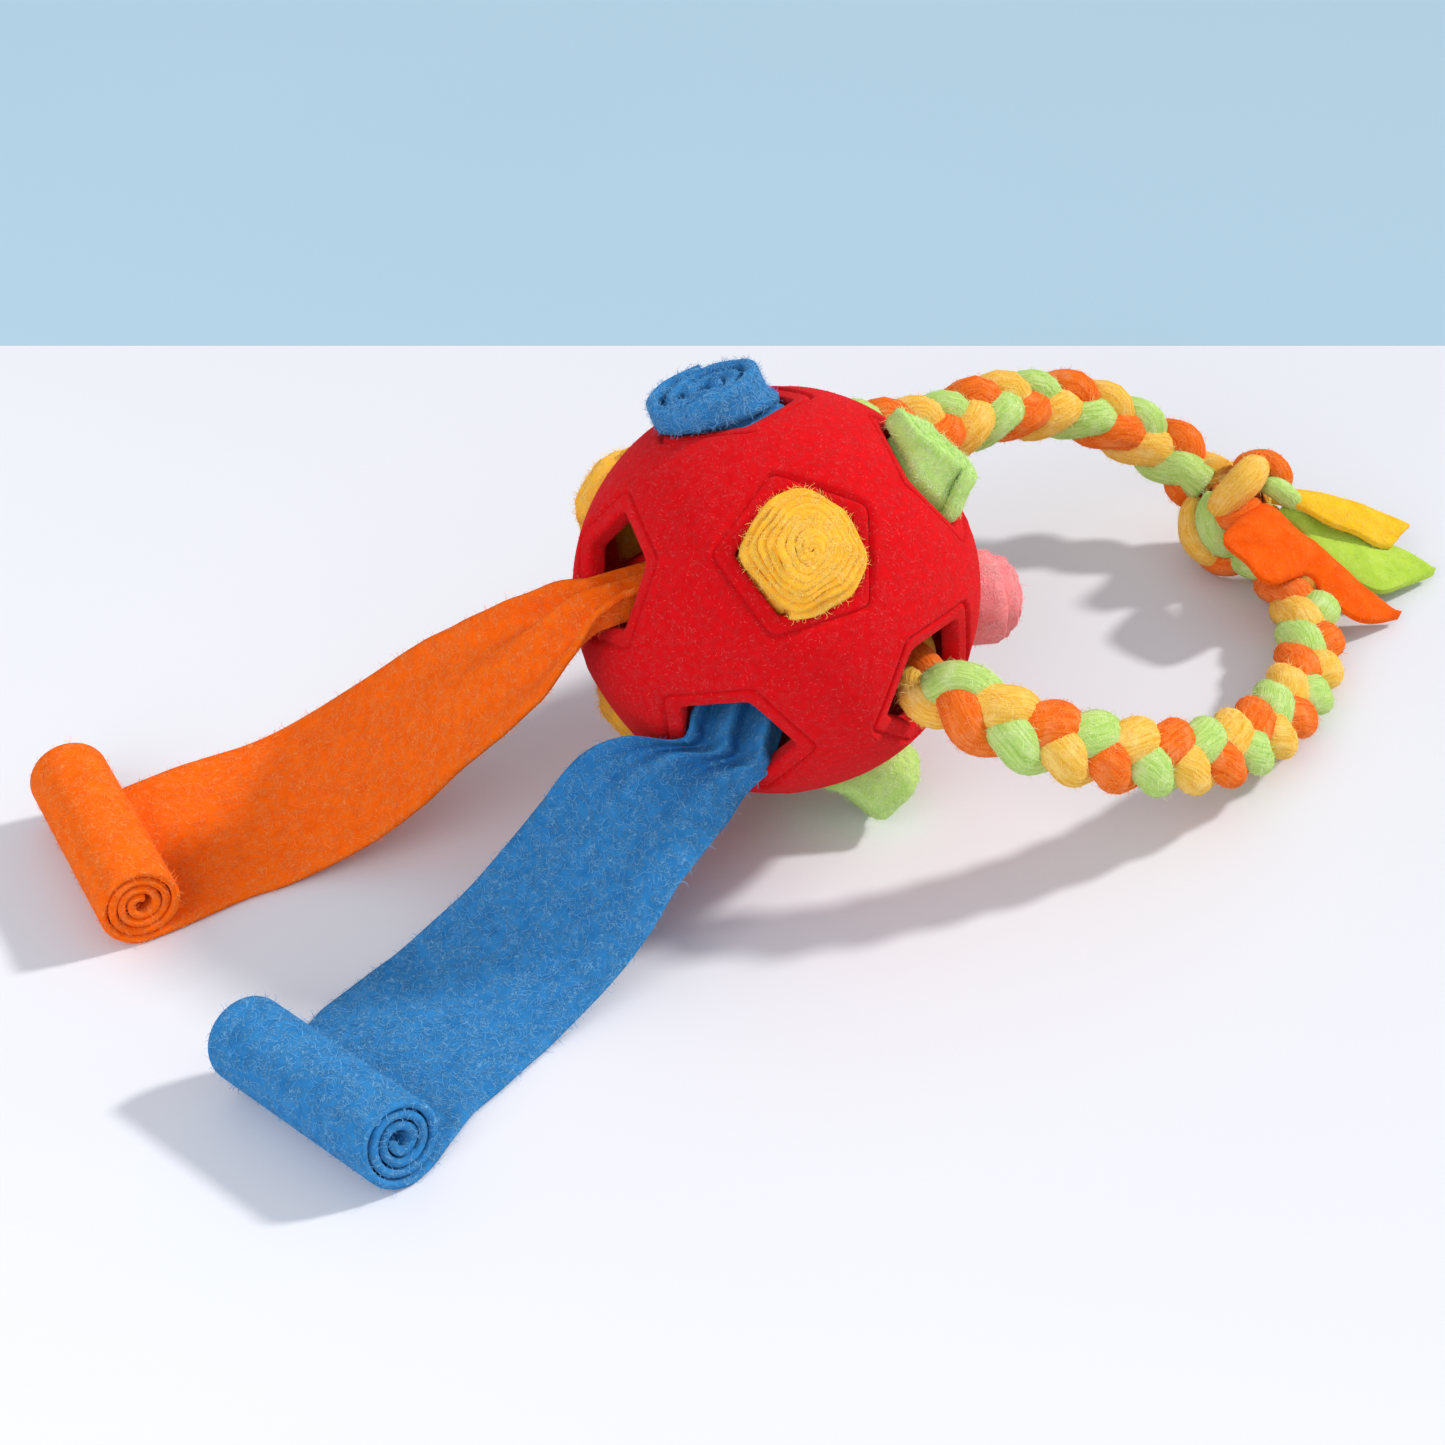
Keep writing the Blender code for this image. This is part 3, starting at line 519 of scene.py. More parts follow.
def fat_bend(bm, layer, points, wide, thick, material):
    """One visible bend of a strand: an oval tube with rounded ends."""
    path = smooth_path([knot_place(p) for p in points], BEND_STEPS)
    rings = []
    for i, point in enumerate(path):
        ahead = (path[min(i + 1, len(path) - 1)] - path[max(i - 1, 0)]).normalized()
        rise = in_plane(point - KNOT_CENTRE, ahead)
        side = rise.cross(ahead)
        t = i / (len(path) - 1)
        size = BEND_END_SHARE + (1 - BEND_END_SHARE) * max(0.0, math.sin(math.pi * t)) ** 0.6
        ring = []
        for k in range(BEND_SIDES):
            angle = math.tau * (k / BEND_SIDES - 0.25)
            spot = side * math.cos(angle) * wide / 1000 + rise * math.sin(angle) * thick / 1000
            fold = 1 + BEND_CREASE * math.cos(angle * BEND_CREASES + t * BEND_TWIST)
            fold += BEND_LUMP * noise.noise(point * BEND_LUMP_SCALE)
            ring.append(bm.verts.new(point + spot * size * fold))
        rings.append(ring)
    before = len(bm.faces)
    join_rings(bm, rings, material)
    unwrap_tube(bm, layer, before, BEND_SIDES, [r * BEND_UV_ALONG for r in range(len(path))])


# Middle line in millimetres right, up and forward; half width, half thickness, strand
KNOT_BENDS = (
    (((-5.6, -0.6, 6), (-4.4, 2.6, 10), (-0.4, 7.0, 12), (3.4, 11.1, 9.5), (5.6, 13.0, 5)), 4.6, 4.0, 1),
    (((1.6, 11.8, -2), (4.4, 13.2, 0.5), (8.4, 13.0, 2), (11.2, 10.4, 3), (11.6, 6.6, 2)), 4.4, 4.0, 2),
    (((5.6, 7.4, 6), (8.6, 6.8, 7.5), (11.4, 5.4, 7.0), (14.2, 3.6, 5.5), (18.5, 1.2, 3.5)), 3.2, 2.8, 0),
    (((-6.3, 5.2, 2), (-7.6, 0.0, 6), (-6.6, -5.0, 8), (-3.8, -8.2, 8), (0.4, -8.6, 7)), 3.6, 3.4, 0),
    (((-9.2, 5.2, -4), (-11.0, 0, -1), (-10.6, -5.4, 1), (-8.0, -9.6, 3), (-4.4, -11.6, 4)), 3.4, 3.4, 1),
    (((-8.6, -8.6, -2), (-5.2, -11.6, 1), (-1.3, -12.2, 4), (2.2, -10.2, 6), (4.2, -6.5, 7)), 3.9, 3.5, 2),
    (((-6.6, -0.6, 8), (-3.6, -2.2, 10.5), (-0.6, -1.4, 11), (2.2, 1.2, 10), (5, 3, 8)), 2.6, 2.4, 2),
    (((8, 2, 4), (9.5, -3, 4), (7.5, -8, 3), (3, -10, 0)), 3.8, 3.6, 1),
    (((-8, 7, -5), (-1, 11, -7), (6, 9, -8), (10, 3, -7)), 4.0, 3.6, 1),
    (((10.5, 3, -3), (10, -3, -6), (4, -6, -8), (-4, -6, -7)), 3.8, 3.4, 0),
    (((-9, 1, -7), (-3, 3, -10), (4, 2, -10), (9, -1, -7)), 4.0, 3.4, 2),
)
bm = bmesh.new()
strand_layer = bm.loops.layers.uv.new("strand")
for points, wide, thick, material in KNOT_BENDS:
    fat_bend(bm, strand_layer, points, wide, thick, material)
fat_bend(bm, strand_layer, ((-8, 0, 0), (-3, 0, 0), (3, 0, 0), (8, 0, 0)), KNOT_CORE, KNOT_CORE, 2)
rest_on_table(bm, KNOT_REST)
knot = add_piece("knot_bends", bm, [FLEECE["green"], FLEECE["yellow"], FLEECE["orange"]])
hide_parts("knot")
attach(knot, "rope")
rope_nap(knot, count=5000, longest=0.0020)


# Tails: the flat ends of the three fleece strips past the knot, cut with scissors to slanting points.
# They are unrolled and lie free. Laid flat, fleece looks like the needled felt of the strips: mottled and
# dull, with curly fibres.
def curled_fibres(tree, coordinates, scale, width):
    """Thin curly lines, like single fibres lying on a felt's face."""
    cloud = add_node(
        tree, "ShaderNodeTexNoise",
        inputs={"Vector": coordinates, "Scale": scale, "Detail": 1.0, "Distortion": 1.2},
    )
    off = add_node(tree, "ShaderNodeMath", {"operation": "SUBTRACT"}, {0: cloud.outputs[0], 1: 0.5})
    size = add_node(tree, "ShaderNodeMath", {"operation": "ABSOLUTE"}, {0: off.outputs[0]})
    return add_node(
        tree, "ShaderNodeMapRange", {"interpolation_type": "SMOOTHSTEP"},
        {"Value": size.outputs[0], "From Min": 0.0, "From Max": width, "To Min": 1.0, "To Max": 0.0},
    ).outputs[0]


# Mottle and fibre count waves for each metre: 230 gives mottles 4 mm across, and 420 gives fibres that curl
# every 2.4 mm. A real fibre, 0.02 mm thick, would not show, so each is drawn as a line about 0.1 mm wide.
def felt_material(name, base, dark, light, mottle=230, fibre=420, fibre_share=0.5, relief=0.55, sheen=0.10):
    """Needled felt or flock: mottled, with curly fibres and a soft nap."""
    material, tree, shader = cloth_material(name, base, light, 0.92, sheen, 0.45)
    coordinates = add_node(tree, "ShaderNodeTexCoord").outputs["Object"]
    blotch = add_node(
        tree, "ShaderNodeTexNoise",
        inputs={"Vector": coordinates, "Scale": mottle, "Detail": 4.0, "Roughness": 0.6},
    ).outputs[0]
    grain = add_node(
        tree, "ShaderNodeTexNoise",
        inputs={"Vector": coordinates, "Scale": fibre * 5, "Detail": 3.0, "Roughness": 0.6},
    ).outputs[0]
    cloud = add_node(
        tree, "ShaderNodeTexNoise", inputs={"Vector": coordinates, "Scale": fibre * 0.9, "Detail": 1.0}
    ).outputs[0]
    broken = add_node(
        tree, "ShaderNodeMapRange", inputs={"Value": cloud, "From Min": 0.42, "From Max": 0.58}
    ).outputs[0]
    broad = curled_fibres(tree, coordinates, fibre, 0.045)
    fine = curled_fibres(tree, coordinates, fibre * 1.7, 0.06)
    lines = add_node(tree, "ShaderNodeMath", {"operation": "MAXIMUM"}, {0: broad, 1: fine}).outputs[0]
    fibres = add_node(tree, "ShaderNodeMath", {"operation": "MULTIPLY"}, {0: lines, 1: broken}).outputs[0]
    depth = add_node(
        tree, "ShaderNodeMapRange", inputs={"Value": blotch, "From Min": 0.30, "From Max": 0.62}
    ).outputs[0]
    colour = add_node(
        tree, "ShaderNodeMix", {"data_type": "RGBA"}, {"Factor": depth, 6: linear(dark), 7: linear(base)}
    ).outputs[2]
    weight = add_node(
        tree, "ShaderNodeMath", {"operation": "MULTIPLY"}, {0: fibres, 1: fibre_share}
    ).outputs[0]
    colour = add_node(
        tree, "ShaderNodeMix", {"data_type": "RGBA"}, {"Factor": weight, 6: colour, 7: linear(light)}
    ).outputs[2]
    tree.links.new(colour, shader.inputs["Base Color"])
    heights = add_node(
        tree, "ShaderNodeMath", {"operation": "MULTIPLY_ADD"}, {0: grain, 1: 0.5, 2: fibres}
    ).outputs[0]
    lumps = add_node(
        tree, "ShaderNodeMath", {"operation": "MULTIPLY_ADD"}, {0: blotch, 1: 0.7, 2: heights}
    ).outputs[0]
    bump = add_node(
        tree, "ShaderNodeBump", inputs={"Strength": relief, "Distance": 0.0004, "Height": lumps}
    ).outputs[0]
    tree.links.new(bump, shader.inputs["Normal"])
    return material


TAIL = 0.0014
TAIL_RIPPLE = 0.0009
TAIL_RIPPLE_SCALE = 110
LEAST_SHEET = 0.0101
SLANT_SHARE = 0.31
TAIL_COLUMNS = 12
TAIL_STEPS = 6
TAIL_FELT = {
    "yellow": felt_material("yellow_tail", "#f2c02a", "#e6ac18", "#fbdc7c", fibre_share=0.15, relief=0.25),
    "green": felt_material("green_tail", "#b7d44e", "#a2c63c", "#daee98", fibre_share=0.15, relief=0.25),
    "orange": felt_material("orange_tail", "#f4600e", "#e65006", "#fb9450", fibre_share=0.15, relief=0.25),
}
# Both edges of a tail from the knot out: left x and y, right x and y, height
TAIL_EDGES = {
    "yellow": (
        (0.1290, 0.0880, 0.1302, 0.0925, 0.0200), (0.1354, 0.0850, 0.1404, 0.0917, 0.0200),
        (0.1409, 0.0828, 0.1482, 0.0915, 0.0180), (0.1484, 0.0820, 0.1565, 0.0923, 0.0145),
        (0.1549, 0.0818, 0.1630, 0.0934, 0.0110), (0.1612, 0.0846, 0.1676, 0.0936, 0.0085),
    ),
    "green": (
        (0.1301, 0.0850, 0.1321, 0.0880, 0.0180), (0.1338, 0.0828, 0.1366, 0.0880, 0.0165),
        (0.1362, 0.0823, 0.1423, 0.0882, 0.0142), (0.1413, 0.0741, 0.1499, 0.0878, 0.0110),
        (0.1473, 0.0715, 0.1580, 0.0878, 0.0080), (0.1543, 0.0685, 0.1651, 0.0863, 0.0055),
        (0.1626, 0.0730, 0.1690, 0.0836, 0.0038), (0.1719, 0.0802, 0.1722, 0.0808, 0.0026),
    ),
    "orange": (
        (0.1174, 0.0758, 0.1245, 0.0873, 0.0200), (0.1131, 0.0662, 0.1281, 0.0811, 0.0220),
        (0.1175, 0.0583, 0.1319, 0.0743, 0.0210), (0.1228, 0.0533, 0.1365, 0.0714, 0.0185),
        (0.1344, 0.0625, 0.1402, 0.0706, 0.0150), (0.1385, 0.0582, 0.1461, 0.0672, 0.0115),
        (0.1423, 0.0558, 0.1504, 0.0644, 0.0085), (0.1492, 0.0553, 0.1553, 0.0633, 0.0050),
        (0.1591, 0.0613, 0.1596, 0.0623, 0.0024),
    ),
}


def make_tail(colour, curl):
    """A flat end skinned between its two edges, with a curl across it."""
    edges = TAIL_EDGES[colour]
    left_path = smooth_path([TOY + Vector((x, y, z)) for x, y, _, _, z in edges], TAIL_STEPS)
    right_path = smooth_path([TOY + Vector((x, y, z)) for _, _, x, y, z in edges], TAIL_STEPS)
    bm = bmesh.new()
    rings = []
    area = 0.0
    length = 0.0
    width = LEAST_SHEET
    for i, (left, right) in enumerate(zip(left_path, right_path)):
        back = max(i - 1, 0)
        front = min(i + 1, len(left_path) - 1)
        ahead = left_path[front] + right_path[front] - left_path[back] - right_path[back]
        rise = in_plane(UP, (right - left).normalized())
        if i:
            step = ((left + right) - (left_path[i - 1] + right_path[i - 1])) / 2
            across = in_plane(right - left, step.normalized()).dot(right - left)
            area += step.length * abs(across)
            length += step.length
            width = max(width, abs(across))
        rise = (rise - ahead.normalized() * rise.dot(ahead.normalized())).normalized()
        upper = []
        lower = []
        for k in range(TAIL_COLUMNS + 1):
            share = k / TAIL_COLUMNS
            place = left.lerp(right, share)
            lift = curl * (1 - (2 * share - 1) ** 2) + TAIL_RIPPLE * noise.noise(place * TAIL_RIPPLE_SCALE)
            upper.append(bm.verts.new(place + rise * (lift + TAIL / 2)))
            lower.append(bm.verts.new(place + rise * (lift - TAIL / 2)))
        rings.append(upper + lower[::-1])
    join_rings(bm, rings)
    rest_on_table(bm, KNOT_REST)
    name = f"tail_end_{colour}"
    piece = add_piece(name, bm, [TAIL_FELT[colour]])
    rope_nap(piece, count=900, longest=0.0014)
    soften = piece.modifiers.new("soften", "BEVEL")
    soften.width = 0.0004
    soften.segments = 2
    soften.limit_method = "ANGLE"
    soften.angle_limit = math.radians(50)
    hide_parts(f"tail_{colour}")
    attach(piece, "rope")
    area = max(area, SLANT_SHARE * width * length)
    return piece


tail_yellow = make_tail("yellow", 0.0008)
tail_green = make_tail("green", 0.0010)
tail_orange = make_tail("orange", 0.0008)


# Ball: a hollow shell moulded in one piece of soft red plastic, with twelve five-sided openings. Each sits
# in a raised frame inside a thin groove. A short red flock, glued on, gives it a dull, velvety face.
RED = felt_material(
    "red_flock", "#dc1119", "#d00c13", "#ff6a6a",
    mottle=600, fibre=640, fibre_share=0.12, relief=0.52, sheen=0.24,
)
SPHERE = 0.0452
WALL = 0.0046
HOLE_APOTHEM = 0.0110
GROOVE_APOTHEM = 0.0150
GROOVE_DEPTH = 0.00085
GROOVE_HALF = 0.00042
# Height in metres, then place and width in millimetres from the groove
LIP_HEIGHT = 0.00022
LIP_PLACE = 1.3
LIP_WIDTH = 0.8
SHOULDER_HEIGHT = 0.00008
SHOULDER_PLACE = -1.2
SHOULDER_WIDTH = 0.7
INNER_LIP = 0.0015
FRAME_EDGE = 0.00095
CORNER_SHARPNESS = 22
SECTOR_STEPS = 24
BLEND = 0.0005
GROOVE_ROWS = (-1.3, -0.85, -0.5, -0.25, 0.0, 0.25, 0.5, 0.85, 1.4, 2.2)
WALL_ROWS = (
    # Outward from the hole's edge and down from the frame's face, in millimetres
    (1.5, 4.6), (0.5, 4.6), (0.1, 4.2), (0.0, 3.6), (0.0, 2.4), (0.0, 1.2),
    (0.12, 0.62), (0.45, 0.2), (0.95, 0.02),
)


def pentagon_reach(apothem, angle, sharpness=CORNER_SHARPNESS):
    """Distance from the middle of a rounded pentagon to its edge; a corner lies at angle 0."""
    total = 0.0
    for side in range(SIDES):
        facing = math.cos(angle - SECTOR * (side + 0.5))
        if facing > 0:
            total += facing ** sharpness
    return apothem / total ** (1 / sharpness)


def region_reach(angle):
    """Distance to the boundary that an opening's region shares with the next ones."""
    offset = (angle + SECTOR / 2) % SECTOR - SECTOR / 2
    return FACE_DISTANCE * math.tan(math.acos(NEIGHBOUR_COSINE) / 2) / math.cos(offset)


def groove_profile(distance):
    """Height of the shell's face at a distance in millimetres outside the groove."""
    cut = GROOVE_DEPTH * math.exp(-((distance / (GROOVE_HALF * 1000)) ** 2))
    lip = LIP_HEIGHT * math.exp(-(((distance - LIP_PLACE) / LIP_WIDTH) ** 2))
    shoulder = SHOULDER_HEIGHT * math.exp(-(((distance - SHOULDER_PLACE) / SHOULDER_WIDTH) ** 2))
    return lip + shoulder - cut


def shell_point(axis, across, reach, offset):
    """A point on the outer shell that lies toward a place in the frame's plane."""
    direction = axis * FACE_DISTANCE + across * reach
    plane = direction.length
    radius = -BLEND * math.log(math.exp(-plane / BLEND) + math.exp(-SPHERE / BLEND))
    return BALL_CENTRE + direction.normalized() * (radius + offset)


def make_ball():
    bm = bmesh.new()
    for name, axis in AXES.items():
        turn = opening_turn(name)
        columns = []
        for step in range(SIDES * SECTOR_STEPS):
            angle = SECTOR * step / SECTOR_STEPS
            across = turn @ Vector((-math.sin(angle), math.cos(angle), 0))
            hole = pentagon_reach(HOLE_APOTHEM, angle)
            groove = pentagon_reach(GROOVE_APOTHEM, angle)
            edge = region_reach(angle)
            column = []
            inner = hole + INNER_LIP
            for share in (1.0, 0.75, 0.5, 0.25):
                reach = inner + (edge - inner) * share
                column.append(shell_point(axis, across, reach, -WALL))
            for outward, down in WALL_ROWS:
                spot = axis * (FACE_DISTANCE - down / 1000) + across * (hole + outward / 1000)
                column.append(BALL_CENTRE + spot)
            for share in (0.3, 0.65):
                start = hole + FRAME_EDGE
                stop = groove + GROOVE_ROWS[0] / 1000
                column.append(shell_point(axis, across, start + (stop - start) * share, 0))
            for distance in GROOVE_ROWS:
                column.append(shell_point(axis, across, groove + distance / 1000, groove_profile(distance)))
            start = groove + GROOVE_ROWS[-1] / 1000
            for share in (0.2, 0.4, 0.6, 0.8, 1.0):
                reach = start + (edge - start) * share
                column.append(shell_point(axis, across, reach, 0))
            columns.append([bm.verts.new(p) for p in column])
        for column, following in zip(columns, columns[1:] + columns[:1]):
            for i in range(len(column) - 1):
                bm.faces.new((column[i], column[i + 1], following[i + 1], following[i]))
    bmesh.ops.remove_doubles(bm, verts=bm.verts, dist=0.00002)
    return add_piece("flocked_ball", bm, [RED])


ball = make_ball()
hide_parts("ball_shell")
in_view = SPHERE - WALL / 2
ball_nap = add_nap(
    ball, count=12000, longest=0.0010, keep=lambda spot: (spot - BALL_CENTRE).length > in_view
)
for item in (ball, ball_nap):
    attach(item, "ball")


# Tucked rolls: strips of needled polyester felt, wound up and pushed into eight openings. The hole squeezes
# each one to five sides, and it swells again outside. Felt is dull, mottled and fuzzy at its cut edges.
YELLOW = felt_material("yellow_felt", "#fdc23e", "#f4ae2c", "#fee08c", fibre_share=0.4)
ORANGE = felt_material(
    "orange_felt", "#fc6d12", "#f25e08", "#ffa05a", mottle=300, fibre=560, fibre_share=0.45, relief=0.52
)
BLUE = felt_material(
    "blue_felt", "#3583c1", "#266fab", "#86c2ec", mottle=300, fibre=560, fibre_share=0.5, relief=0.7
)
GREEN = felt_material("green_felt", "#bee280", "#a6d062", "#e0f5bc")
PINK = felt_material("pink_felt", "#f69193", "#e87a7e", "#fcc4c2")

FELT = 0.0018
SEAT_GAP = 0.0003
TURN_STEPS = 40
IN_HOLE_APOTHEM = 0.0108
PLUG_APOTHEM = 0.0107
HOLE_SHARPNESS = 18
ROLL_SWELL = 0.0006
SWELL_HEIGHT = 0.0030
SLACK_ANGLE = 0.9
FREE_HEIGHTS = (-0.0001, 0.0009)
FREE_SHARPNESS = 9
FREE_CORNER = 1.07
EDGE_POWER = 8
EDGE_CALM = 0.6
WAVER_SCALE = 3
WAVER_RISE = 0.15
RIM_SHARE = 1.6
RIM_SCALE = 1.8
RIM_RISE = 0.3
ROLL_NAP_START = 0.0006
ROLL_REST = 0.0004
# Depth below the opening, share of the full width, share of the full folds
PLUG_ROWS = (
    (-0.0002, 0.6, 0.0), (-0.0010, 0.9, 0.0), (-0.0030, 1.0, 0.0),
    (-0.0050, 1.0, 0.2), (-0.0090, 0.95, 1.0), (-0.0120, 0.8, 1.0),
)
PLUG_FOLD = 0.02
PLUG_FOLDS = 9
PLUG_TWIST = 300
ROLL_INNER_END = -0.0090
DRIFT_STEP = Vector((17.3, 5.1, 9.7))
DRIFT_SCALE = 130
DRIFT_SCALE_UP = 30
# Heights of a roll's side: in the hole and at its edge in metres, then as shares of its height
ROLL_FOOT_HEIGHTS = (-0.0004, 0.0003, 0.0011)
ROLL_HEIGHT_SHARES = (0.3, 0.55, 0.78)
# Lengths in metres and lean in degrees. Out is how far a roll stands out of its hole, pitch the step from
# turn to turn, square how five-sided it stays, valley how deep it dips between turns, and tuck the share of
# its hidden length.
ROLLS = {
    "roll_centre": {
        "opening": "centre", "felt": YELLOW, "slot": "yellow_felt", "radius": 0.0132, "out": 0.0046,
        "pitch": 0.00135, "core": 0.0003, "lean": 0.0, "toward": (0, 0, 1), "shift": 0.0,
        "crown": 0.0026, "shoulder": 0.0032, "square": 0.10, "stray": 0.0026, "rough": 0.00022,
        "valley": 0.030, "start": 2.6, "heart": (0.0024, 0, -0.0004), "thick": 0.00160, "tuck": 1.0,
    },
    "roll_top": {
        "opening": "top", "felt": BLUE, "slot": "blue_felt", "radius": 0.0144, "out": 0.0090,
        "pitch": 0.0041, "core": 0.0016, "lean": 9.0, "toward": (-0.85, -0.52, 0), "shift": 0.0030,
        "crown": -0.0014, "shoulder": 0.0, "square": 0.0, "stray": 0.0004, "rough": 0.00022,
        "valley": 0.18, "start": 3.0, "heart": (0.0004, 0, 0), "thick": 0.0025, "tuck": 1.0,
    },
    "roll_upper_right": {
        "opening": "upper_right", "felt": GREEN, "slot": "green_felt", "radius": 0.0124, "out": 0.0074,
        "pitch": 0.0019, "core": 0.0008, "lean": 13.0, "toward": (-0.6, 0.7, 0.4), "shift": 0.0028,
        "crown": 0.0004, "shoulder": 0.0006, "square": 1.0, "stray": 0.0012, "rough": 0.00045,
        "valley": 0.12, "start": 1.0, "heart": (0, 0, 0), "thick": 0.0019, "tuck": 1.0,
    },
    "roll_right": {
        "opening": "right", "felt": PINK, "slot": "pink_felt", "radius": 0.0120, "out": 0.0160,
        "pitch": 0.0014, "core": 0.0008, "lean": 22.0, "toward": (0.9, -0.2, 0.45), "shift": 0.0030,
        "crown": 0.0034, "shoulder": 0.0050, "square": 0.1, "stray": 0.0010, "rough": 0.00045,
        "valley": 0.07, "start": 3.0, "heart": (0, 0, 0), "thick": 0.0015, "tuck": 1.0,
    },
    "roll_upper_left": {
        "opening": "upper_left", "felt": YELLOW, "slot": "yellow_felt", "radius": 0.0122, "out": 0.0072,
        "pitch": 0.0018, "core": 0.0008, "lean": 8.0, "toward": (-0.8, 0.2, 0.5), "shift": 0.0030,
        "crown": 0.0034, "shoulder": 0.0024, "square": 0.2, "stray": 0.0012, "rough": 0.00045,
        "valley": 0.12, "start": 0.0, "heart": (0, 0, 0), "thick": 0.0018, "tuck": 0.42,
    },
    "roll_lower_left": {
        "opening": "lower_left", "felt": YELLOW, "slot": "yellow_felt", "radius": 0.0116, "out": 0.0044,
        "pitch": 0.0018, "core": 0.0008, "lean": 0.0, "toward": (0, 0, -1), "shift": 0.0020,
        "crown": 0.0026, "shoulder": 0.0012, "square": 0.3, "stray": 0.0012, "rough": 0.00045,
        "valley": 0.12, "start": 5.0, "heart": (0, 0, 0), "thick": 0.0018, "tuck": 0.42,
    },
    "roll_under": {
        "opening": "under", "felt": GREEN, "slot": "green_felt", "radius": 0.0116, "out": 0.0150,
        "pitch": 0.0026, "core": 0.0016, "lean": 35.0, "toward": (1, 0.1, 0), "shift": 0.0066,
        "crown": 0.0, "shoulder": 0.0, "square": 1.0, "stray": 0.0010, "rough": 0.00040, "valley": 0.12,
        "start": 4.0, "heart": (0, 0, 0), "thick": 0.0022, "tuck": 1.0,
    },
    "roll_back": {
        "opening": "back", "felt": ORANGE, "slot": "orange_felt", "radius": 0.0120, "out": 0.0210,
        "pitch": 0.0026, "core": 0.0016, "lean": 12.0, "toward": (-0.5, 0, -1), "shift": 0.0020,
        "crown": 0.0, "shoulder": 0.0010, "square": 0.3, "stray": 0.0010, "rough": 0.00040,
        "valley": 0.2, "start": 0.7, "heart": (0, 0, 0), "thick": 0.0022, "tuck": 1.0,
    },
}


def roll_section(top, valley, inner):
    """Outline of the wound strip: across its thickness and up to its rounded rim."""
    heights = [inner, inner * 0.45, *ROLL_FOOT_HEIGHTS] + [top * share for share in ROLL_HEIGHT_SHARES]
    crest = min(0.05, valley)
    rim = [(0.5, -valley), (0.34, -valley * 0.2), (0.0, crest), (-0.34, -valley * 0.2), (-0.5, -valley)]
    section = [(0.5, h) for h in heights]
    section += [(side, top + up * FELT * 2) for side, up in rim]
    section += [(-0.5, h) for h in heights[::-1]]
    return section


def add_plug(bm, place, tuck):
    """The end of the strip that is folded and squeezed inside the ball."""
    rings = []
    for depth, share, folded in PLUG_ROWS:
        ring = []
        for step in range(TURN_STEPS):
            angle = math.tau * step / TURN_STEPS
            fold = 1 - PLUG_FOLD * folded * (1 + math.cos(angle * PLUG_FOLDS + depth * PLUG_TWIST))
            reach = pentagon_reach(PLUG_APOTHEM, angle, HOLE_SHARPNESS) * share * fold
            spot = Vector((-math.sin(angle) * reach, math.cos(angle) * reach, depth * tuck))
            ring.append(bm.verts.new(place(spot)))
        rings.append(ring)
    join_rings(bm, rings)


